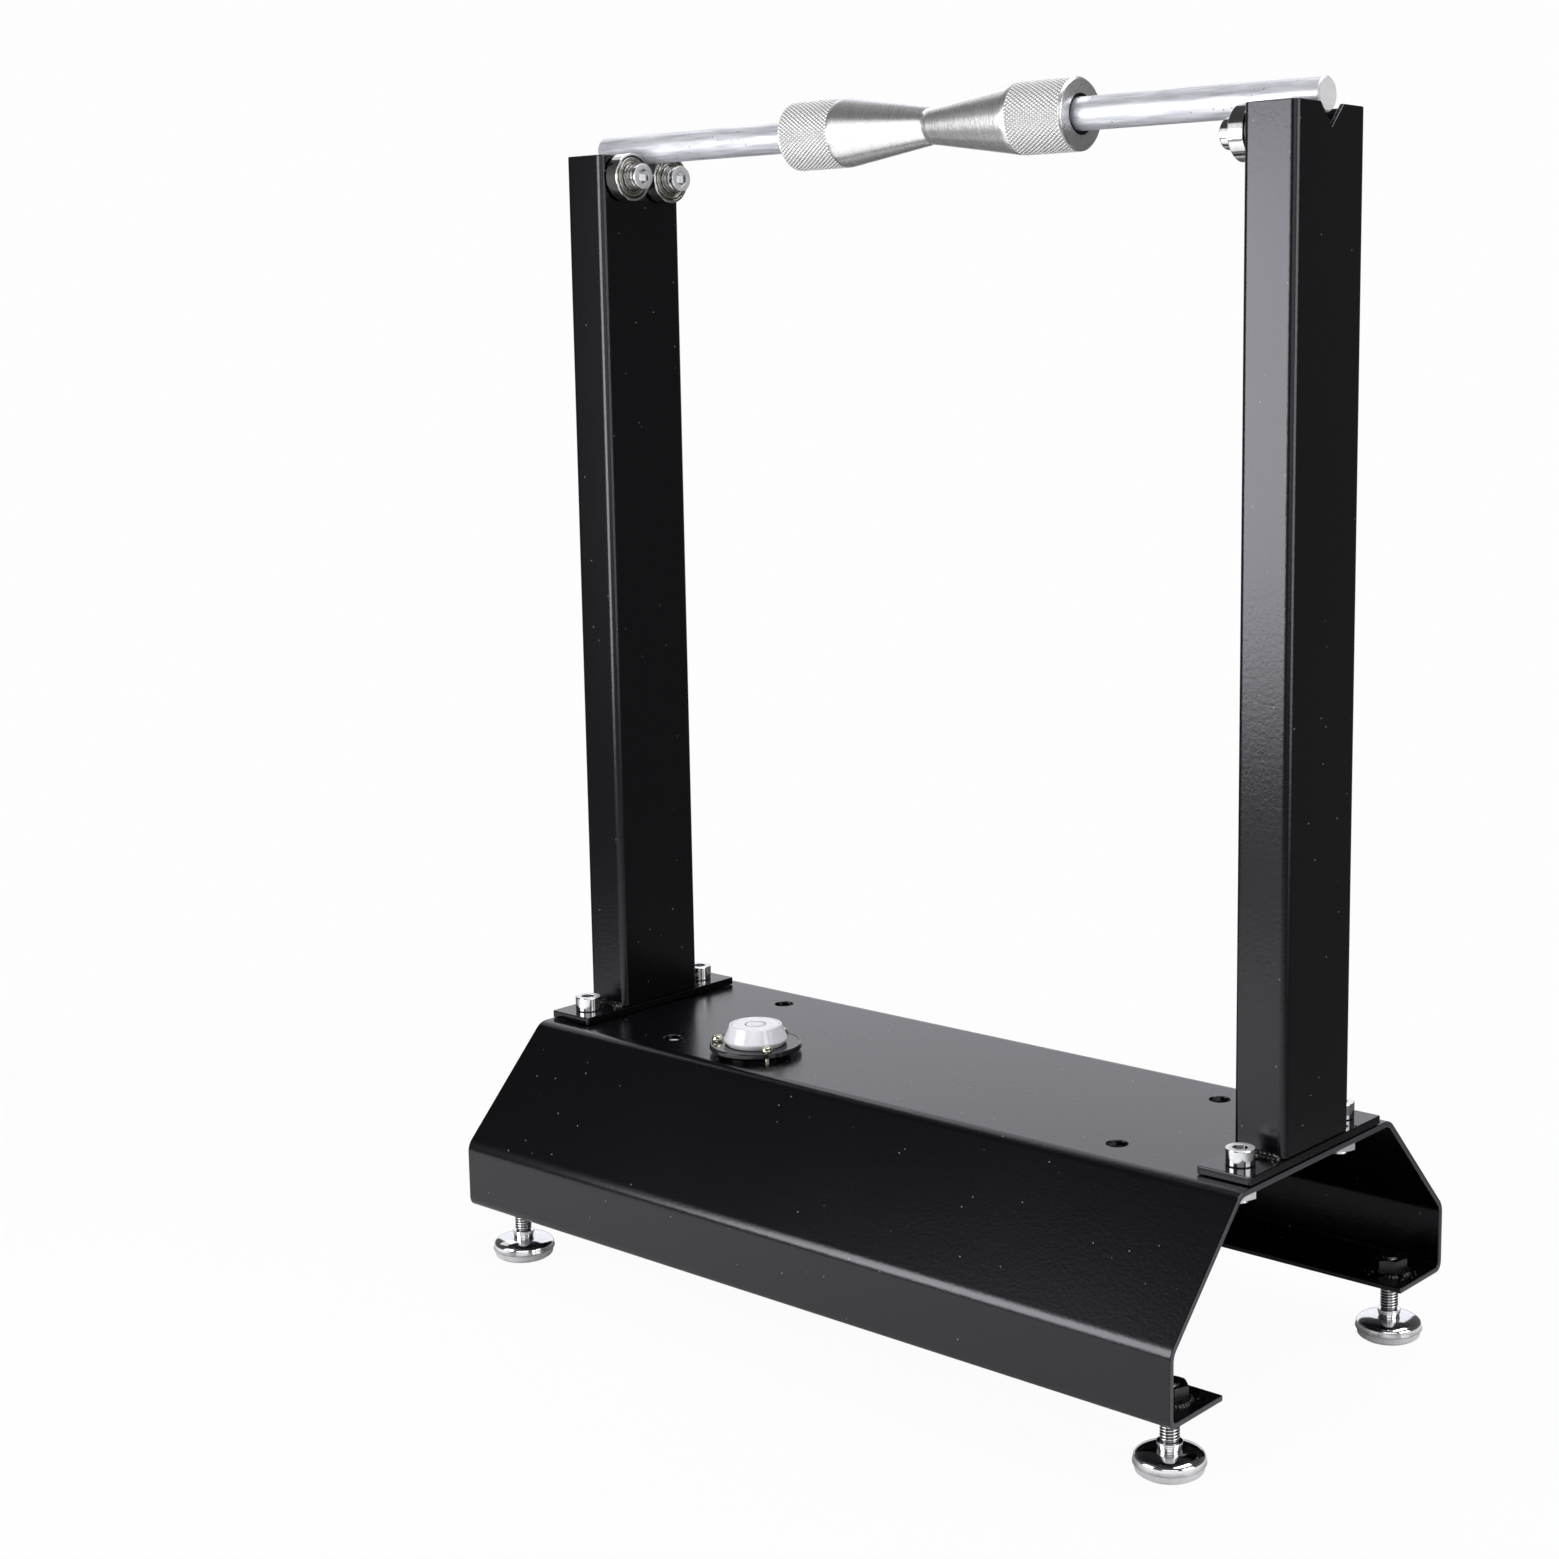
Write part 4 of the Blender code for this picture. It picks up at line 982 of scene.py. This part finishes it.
def cone_mesh(name, radius, length):
    """A centring cone about Z, tip at z = 0, from rows of (radius, height, 1 where it is knurled)."""
    start, stop = length - CONE_CHAMFER, length - KNURL_LENGTH
    count = int((start - stop) / (KNURL_LEAD / KNURL_SAMPLES))
    face, sink = radius - CONE_CHAMFER, SINK_RADIUS - 0.0001
    profile = [
        (SINK_RADIUS, length, 0),
        (SINK_RADIUS + 0.0001, length, 0),
        (face - 0.0002, length, 0),
        (face, length - 0.00008, 0),
        (radius - 0.00025, start + 0.0001, 0),
    ]
    profile += [(radius, start - (start - stop) * k / count, 1) for k in range(count + 1)]
    for k in range(1, TAPER_STEPS):
        profile.append((radius + (TIP_RADIUS - radius) * k / TAPER_STEPS, stop * (1 - k / TAPER_STEPS), 0))
    profile += [
        (TIP_RADIUS + 0.00008, 0.0004, 0),
        (TIP_RADIUS - 0.0001, 0.0001, 0),
        (TIP_RADIUS - 0.0004, 0, 0),
        (CONE_BORE, 0, 0),
        (CONE_BORE, length - SINK_DEPTH, 0),
        (sink, length - SINK_DEPTH, 0),
        (sink, length - 0.0003, 0),
    ]
    radii, heights, knurled = np.array(profile).T[:, :, None]
    steps = KNURL_STARTS * KNURL_SAMPLES
    turns = np.arange(steps)[None, :] / steps
    fade = np.clip(np.minimum(start - heights, heights - stop) / KNURL_FADE, 0, 1)
    worked = knurled * fade
    cut = knurl_height(turns * KNURL_STARTS, heights / KNURL_LEAD) * worked
    reach = radii - cut - KNURL_END_DROP * KNURL_DEPTH * (1 - fade) * knurled
    x = reach * np.cos(FULL_TURN * turns)
    y = reach * np.sin(FULL_TURN * turns)
    z = np.broadcast_to(heights, x.shape).copy()
    drill_hole(x, y, z, length - KNURL_LENGTH / 2, (radii > TIP_RADIUS + 0.002) & (worked > 0))
    work = bmesh.new()
    rows = [[work.verts.new(point) for point in row] for row in np.stack((x, y, z), axis=-1).tolist()]
    skin(work, rows + rows[:1])
    made = smoothed(mesh_of(name, work), CONE_SHARP)
    deep = np.clip(cut / KNURL_DEPTH, 0, 1) ** 2
    # The knurl's grooves are kept for painted shade.
    keep_value(made, "groove", deep.reshape(-1))
    # The knurl's crests are kept for a painted highlight.
    keep_value(made, "crest", (worked * (1 - deep)).reshape(-1))
    # The mouth of the bore is kept for painted shade.
    mouth = (radii < SINK_RADIUS - GAP / 6) & (heights < length - GAP / 2) & (heights > length / 2)
    keep_value(made, "painted_shade", np.broadcast_to(mouth, x.shape).reshape(-1))
    return made


def drill_hole(x, y, z, place, outside):
    """Pushes the points inside the set screw's hole down to its floor, with an upright wall."""
    span = np.hypot(y, z - place)
    facing = (x > 0) & outside
    snap = KNURL_LEAD / KNURL_SAMPLES * HOLE_SNAP
    rim = facing & (np.abs(span - SCREW_HOLE) < snap)
    inside = facing & (span <= SCREW_HOLE - snap)
    wall = inside & (span > SCREW_HOLE - HOLE_WALL * snap)
    for spots in (rim, wall):
        scale = SCREW_HOLE / np.maximum(span[spots], 1e-9)
        y[spots] *= scale
        z[spots] = place + (z[spots] - place) * scale
    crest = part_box("cone_left")[1].z - middle("cone_left").z
    x[rim] = np.sqrt((crest - 0.0001) ** 2 - y[rim] ** 2)
    x[inside] = CONE_BORE + HOLE_FLOOR


def set_screw_mesh(size):
    section = rounded(rectangle(0, size.z / 2, size.x / 2, -size.z / 2), SET_SCREW_EDGE, 3)
    socket = prism_mesh("socket", hexagon(SET_SCREW_FLATS), size.z / 2 - SET_SCREW_DEPTH, size.z)
    body = lathe_mesh("set_screw", section, 40)
    return finished(body, cuts=[socket], edge=SET_SCREW_SOCKET_EDGE, edge_steps=2)


def make_cones():
    size, axis = extent("cone_left"), middle("shaft")
    cone = cone_mesh("cone", size.z / 2, size.x)
    screw = set_screw_mesh(extent("set_screw_left"))
    for side, sign in SIDES:
        body, node = "cone_" + side, "set_screw_" + side
        low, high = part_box(body)
        tip = low.x if sign > 0 else high.x
        place = Matrix(((0, 0, sign, tip), (0, -sign, 0, axis.y), (1, 0, 0, axis.z), (0, 0, 0, 1)))
        add("knurled_cone_" + side, moved(cone, place), POLISHED, body, body=body)
        add("grub_screw_" + side, placed(screw, middle(node)), BLACK, node, body=node)


# Feet


def disc_profile(radius, rim):
    """Section of a foot from its collar down over the dome to the rim."""
    rim_top = rim + RIM_HEIGHT
    dome_top = rim_top + DOME_HEIGHT
    width = radius - RIM_TILT - COLLAR_NECK
    profile = [(0, dome_top + COLLAR_HEIGHT)]
    for k, bulge in enumerate(COLLAR_RINGS):
        z = dome_top + COLLAR_HEIGHT - COLLAR_HEIGHT * k / len(COLLAR_RINGS)
        profile.append((bulge, z, 0.0002))
        profile.append((bulge, z - COLLAR_RING_HEIGHT, 0.0002))
        profile.append((bulge - COLLAR_GROOVE_DEPTH, z - COLLAR_GROOVE_DROP, 0.0001))
    profile.append((COLLAR_NECK, dome_top))
    for k in range(DOME_ROWS):
        angle = QUARTER * (k + 1) / (DOME_ROWS + 1)
        height = DOME_HEIGHT * math.cos(angle) ** DOME_POWER
        profile.append((COLLAR_NECK + width * math.sin(angle), rim_top + height, 0))
    profile += [(radius - RIM_TILT, rim_top, 0), (radius, rim + RIM_TILT, 0.0003)]
    return rounded(profile + [(radius - RIM_TILT, rim), (0, rim)], DISC_EDGE)


def pad_profile(radius, height):
    section = [
        (0, height),
        (radius, height),
        (radius - PAD_LEAN, PAD_SIDE, PAD_SIDE),
        (radius - PAD_FOOT_INSET, 0, 0.0008),
        (0, 0),
    ]
    return rounded(section, PAD_EDGE, 5)


def make_feet():
    stud_low, stud_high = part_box("foot_stud_front_left")
    radius = (stud_high.x - stud_low.x) / 2
    rim = stud_low.z
    foot = turned("disc", disc_profile(radius, rim), 96)
    points = coordinates(foot)
    outside = np.hypot(points[:, 0], points[:, 1]) > radius - 2 * RIM_TILT
    # The side band of the rim is kept for painted shade, in place of a darker reflection.
    keep_value(foot, "rim", RIM_PAINTED_SHADE * (outside & (points[:, 2] < rim + RIM_HEIGHT - RIM_TILT)))
    collar_top = rim + RIM_HEIGHT + DOME_HEIGHT + COLLAR_HEIGHT
    stud = thread_mesh("stud", collar_top + GAP / 30, stud_high.z)
    pad = turned("pad", pad_profile(extent("foot_pad_front_left").x / 2, rim - PAD_GAP), 96)
    nut = nut_mesh(extent("weld_nut_front_left").z)
    for label in LABELS:
        centre, where = middle("foot_stud" + label), middle("weld_nut" + label)
        place, body = (centre.x, centre.y, 0), "foot" + label
        add("chrome_foot" + label, placed(foot, place), CHROME, "foot_stud" + label, body=body)
        add("threaded_stud" + label, placed(stud, place), CHROME, body=body)
        add("plastic_pad" + label, placed(pad, place), PAD, "foot_pad" + label, body=body)
        turn = Matrix.Translation(where) @ askew(centre, *WELD_NUT_RATES)
        add("black_nut" + label, moved(nut, turn), BLACK, "weld_nut" + label)
        make_nut_weld(label, centre, where.z - extent("weld_nut" + label).z / 2 - GAP)


def make_nut_weld(label, centre, floor):
    """A lumpy bead part of the way round a nut, with spatter beside it, by noise that its place picks."""
    drops = []
    for k in range(NUT_WELD_LUMPS):
        angle = FULL_TURN * (k / NUT_WELD_LUMPS) + centre.x * 9
        step, x_rate, y_rate = NUT_WELD_NOISE
        lump = 0.5 + 0.5 * noise.noise(Vector((k * step, centre.x * x_rate, centre.y * y_rate)))
        if lump >= NUT_WELD_LEVEL:
            reach, size = (start + growth * lump for start, growth in (NUT_WELD_PLACE, NUT_WELD_SIZE))
            drops.append((angle, NUT_FLATS / 2 + reach, size))
    for k in range(NUT_SPATTER_DROPS):
        angle = FULL_TURN * noise.noise(Vector((k * 1.7, centre.y * 50, 3.0))) * 2
        start, growth = NUT_SPATTER_PLACE
        reach = start + growth * abs(noise.noise(Vector((k * 2.3, centre.x * 50, 7.0))))
        drops.append((angle, reach, NUT_SPATTER_SIZE))
    low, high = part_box("base_channel")
    inner_side = high.y - SHEET - NUT_WELD_CLEARANCE
    spots = []
    for angle, reach, size in drops:
        x, y = centre.x + reach * math.cos(angle), centre.y + reach * math.sin(angle)
        if abs(y) < inner_side and low.x < x < high.x:
            spots.append((x, y, floor, size))
    add("nut_weld" + label, blob_mesh("nut_weld", spots), WELD)


# Bubble level


def pan_head(radius, height):
    """A pan head with a cross recess."""
    profile = [(0, height), (radius * PAN_TOP, height), (radius, height * PAN_SIDE), (radius, 0), (0, 0)]
    head = lathe_mesh("pan", rounded(profile, PAN_EDGE, 5), 48)
    arm, half = radius * CROSS_ARM, radius * CROSS_HALF
    cross = rectangle(-arm, -half, arm, half)
    slot = prism_mesh("slot", cross, height * CROSS_FLOOR, height + OVERRUN)
    slots = [moved(slot, Matrix.Rotation(turn, 4, "Z")) for turn in (0, QUARTER)]
    return finished(head, cuts=slots, edge=CROSS_EDGE, edge_steps=2)


def wire_ring(radius, height, thick):
    section = ring_points(thick, 10)
    return turned("wire", [(radius + u, height + WIRE_FLATNESS * v) for u, v in section])


def make_level():
    low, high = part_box("level_flange")
    vial_low, vial_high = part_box("level_vial")
    centre = (low + high) / 2
    radius = (high.x - low.x) / 2
    face, step = high.z - LEVEL_FACE_DROP, low.z + LEVEL_STEP_HEIGHT
    section = [
        (LEVEL_BORE, face),
        (radius - 0.0011, face, 0.0002),
        (radius - 0.0009, high.z, 0.0001),
        (radius - 0.0004, high.z, 0.0003),
        (radius, high.z - 0.0006, 0.0003),
        (radius, step + 0.0003, 0.0003),
        (radius - 0.0003, step, 0.0002),
        (LEVEL_STEP_RADIUS, step, 0.0002),
        (LEVEL_STEP_RADIUS, low.z, 0.0002),
        (LEVEL_BORE, low.z, 0.0002),
    ]
    flange = turned("flange", rounded(section, 0.0003, closed=True), 96)
    place = (centre.x, centre.y, 0)
    add("level_body", placed(flange, place), DARK_PLASTIC, "level_flange")
    wide = (vial_high.x - vial_low.x) / 2
    top, foot = vial_high.z, high.z + GAP
    groove = VIAL_GROOVE
    crown, sunk = top - groove / 2, top - 1.5 * groove
    section = [
        (0, crown),
        (TARGET_RADIUS - 0.0004, crown, 0.0002),
        (TARGET_RADIUS - 0.0002, sunk, 0.0001),
        (TARGET_RADIUS + 0.0002, sunk, 0.0001),
        (TARGET_RADIUS + 0.0004, crown, 0.0002),
        (VIAL_LINE_RADIUS - 0.0003, crown, 0.0001),
        (VIAL_LINE_RADIUS, top - 2 * groove, 0.0001),
        (VIAL_LINE_RADIUS + 0.0003, top, 0.0001),
        (VIAL_TOP_RADIUS, top, 0.0004),
        (wide - 0.0002, foot + 0.0016, 0.0012),
        (wide - 0.0009, foot, 0.0009),
        (LEVEL_BORE - GAP, foot, 0),
        (LEVEL_BORE - GAP, low.z, 0),
        (0, low.z),
    ]
    vial = turned("vial", rounded(section, 0.001, 5), 96)
    add("vial_dome", placed(vial, place), VIAL, "level_vial")
    height = top - groove
    add("target_ring", placed(wire_ring(TARGET_RADIUS, height, TARGET_WIRE), place), MARK)
    bubble = wire_ring(BUBBLE_RADIUS, height + groove / 2, TARGET_WIRE / 2)
    shifted = Matrix.Translation(place) @ Matrix.Translation((*BUBBLE_SHIFT, 0))
    add("bubble_ring", moved(bubble, shifted), SHELL_LINE)
    line = wire_ring(VIAL_LINE_RADIUS, height - groove / 2, TARGET_WIRE)
    add("vial_line", placed(line, place), SHELL_LINE)
    screw_low, screw_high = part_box("level_screw_1")
    head = pan_head((screw_high.x - screw_low.x) / 2, LEVEL_HEAD)
    below = screw_low.z - screw_high.z + LEVEL_HEAD
    shank = turned("shank", rectangle(0, 0.0001, LEVEL_SHANK, below), 20)
    for k in range(3):
        node = f"level_screw_{k + 1}"
        spot = middle(node)
        turn = Matrix.Rotation(LEVEL_SCREW_TURN + k, 4, "Z")
        turn = Matrix.Translation((spot.x, spot.y, screw_high.z - LEVEL_HEAD)) @ turn
        add(f"pan_screw_{k + 1}", moved(joined("pan_screw", head, shank), turn), YELLOW_ZINC, node)


def dress_hidden_nodes():
    """The balls and the nuts inside the tubes keep their solids and get a finish."""
    for label in LABELS:
        for node, finish in (("bearing_balls", BALL), ("bearing_nut", ZINC)):
            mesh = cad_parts[node + label].data
            mesh.materials.clear()
            mesh.materials.append(finish.material)


# Stage, lights and camera


def show_mixed(share, first, second, output):
    """Mixes two shaders by a share, for the output of a material or a world."""
    tree = share.id_data
    mix = new_node(tree, "MixShader")
    for source, socket in zip((share, first.outputs[0], second.outputs[0]), mix.inputs):
        tree.links.new(source, socket)
    set_inputs(tree.nodes[output], Surface=mix.outputs[0])


def make_floor():
    """A pale floor that the camera sees only faintly, and that fades out away from the part."""
    mesh = lathe_mesh("floor", [(radius, -FLOOR_DROP) for radius in FLOOR_RINGS], 64)
    floor = new_object("floor", mesh)
    floor.location = FLOOR_PLACE
    material = bpy.data.materials.new("pale_floor")
    material.use_nodes = True
    tree = material.node_tree
    tree.nodes.remove(tree.nodes["Principled BSDF"])
    length = new_node(tree, "VectorMath", Vector=new_node(tree, "TexCoord").outputs["Object"])
    length.operation = "LENGTH"
    fade = ramp(length.outputs["Value"], *FLOOR_FADE, 0, 1)
    fade.node.interpolation_type = "SMOOTHSTEP"
    ray = new_node(tree, "LightPath").outputs["Is Camera Ray"]
    most = new_node(tree, "Math")
    most.operation = "MAXIMUM"
    tree.links.new(fade, most.inputs[0])
    tree.links.new(ramp(ray, 0, 1, 0, FLOOR_CLEARNESS), most.inputs[1])
    matte = new_node(tree, "BsdfDiffuse", Color=FLOOR_COLOUR)
    show_mixed(most.outputs["Value"], matte, new_node(tree, "BsdfTransparent"), "Material Output")
    mesh.materials.append(material)


def make_world(seen, horizon, overhead):
    """A plain backdrop that is pale to look at; as a light it is dim, and dimmer overhead."""
    world = bpy.data.worlds.new("studio")
    world.use_nodes = True
    tree = world.node_tree
    shown = set_inputs(tree.nodes["Background"], Color=(seen, seen, seen, 1))
    split = new_node(tree, "SeparateXYZ", Vector=new_node(tree, "TexCoord").outputs["Generated"])
    strength = ramp(split.outputs["Z"], *WORLD_FADE, horizon, overhead)
    ray = new_node(tree, "LightPath").outputs["Is Camera Ray"]
    show_mixed(ray, new_node(tree, "Background", Strength=strength), shown, "World Output")
    bpy.context.scene.world = world


def softbox(name, azimuth, distance, bottom, top, width, radiance, aim=(0, 0, 0.3), colour=(1, 1, 1)):
    """An upright soft light at an azimuth from +X, from a bottom to a top height."""
    angle = math.radians(azimuth)
    aim = Vector(aim)
    across, along = distance * math.cos(angle), distance * math.sin(angle)
    place = Vector((aim.x + across, aim.y + along, (bottom + top) / 2))
    facing = Vector((aim.x - place.x, aim.y - place.y, 0))
    area_light(name, place, facing, width, top - bottom, radiance, colour)


def area_light(name, place, facing, width, height, radiance, colour=(1, 1, 1)):
    light = bpy.data.lights.new(name, "AREA")
    light.color = colour
    light.shape = "RECTANGLE"
    light.size = width
    light.size_y = height
    light.energy = radiance * math.pi * width * height
    obj = new_object(name, light)
    obj.location = place
    obj.rotation_euler = Vector(facing).to_track_quat("-Z", "Y").to_euler()
    obj.visible_camera = False


def make_lights():
    make_world(seen=0.985, horizon=0.145, overhead=0.07)
    area_light("top_light", (0.50, 0.40, 2.2), (0, 0, -1), 1.7, 1.7, 5.0)
    softbox("front_left_light", -126, 0.9, 0.165, 0.64, 0.50, 8.0, aim=(0.187, -0.025, 0.3))
    softbox("front_left_upper_light", -126, 0.9, 0.64, 1.0, 0.50, 0.9, aim=(0.187, -0.025, 0.3))
    softbox("left_upper_light", 160, 2.2, 1.3, 2.9, 1.4, 0.75)
    softbox("camera_side_light", -52, 2.6, 0.1, 1.7, 2.2, 1.2)
    softbox("right_light", 2, 1.5, 0.05, 1.1, 0.9, 3.8)
    softbox("back_left_light", 130, 2.2, 0.0, 2.5, 2.2, 0.95, colour=(0.97, 0.98, 1.05))


def make_camera():
    across, ahead = math.sin(CAMERA_YAW), math.cos(CAMERA_YAW)
    flat = math.cos(CAMERA_PITCH)
    look = Vector((-across * flat, ahead * flat, -math.sin(CAMERA_PITCH)))
    level = Vector((ahead, across, 0))
    upright = level.cross(look)
    right = level * math.cos(CAMERA_ROLL) + upright * math.sin(CAMERA_ROLL)
    up = upright * math.cos(CAMERA_ROLL) - level * math.sin(CAMERA_ROLL)
    data = bpy.data.cameras.new("camera")
    data.sensor_width = SENSOR
    data.lens = FOCAL
    data.shift_x = SHIFT_X
    data.shift_y = SHIFT_Y
    camera = new_object("camera", data)
    turn = Matrix((right, up, -look)).transposed().to_4x4()
    camera.matrix_world = Matrix.Translation(CAMERA_PLACE) @ turn
    bpy.context.scene.camera = camera


make_camera()
make_floor()
make_lights()
make_base()
for side, sign in SIDES:
    make_post(side, sign)
    make_plate(side)
    make_welds(side)
make_plate_fasteners()
make_bearings()
make_shaft()
make_cones()
make_feet()
make_level()
dress_hidden_nodes()
bpy.context.scene.view_settings.view_transform = "Standard"
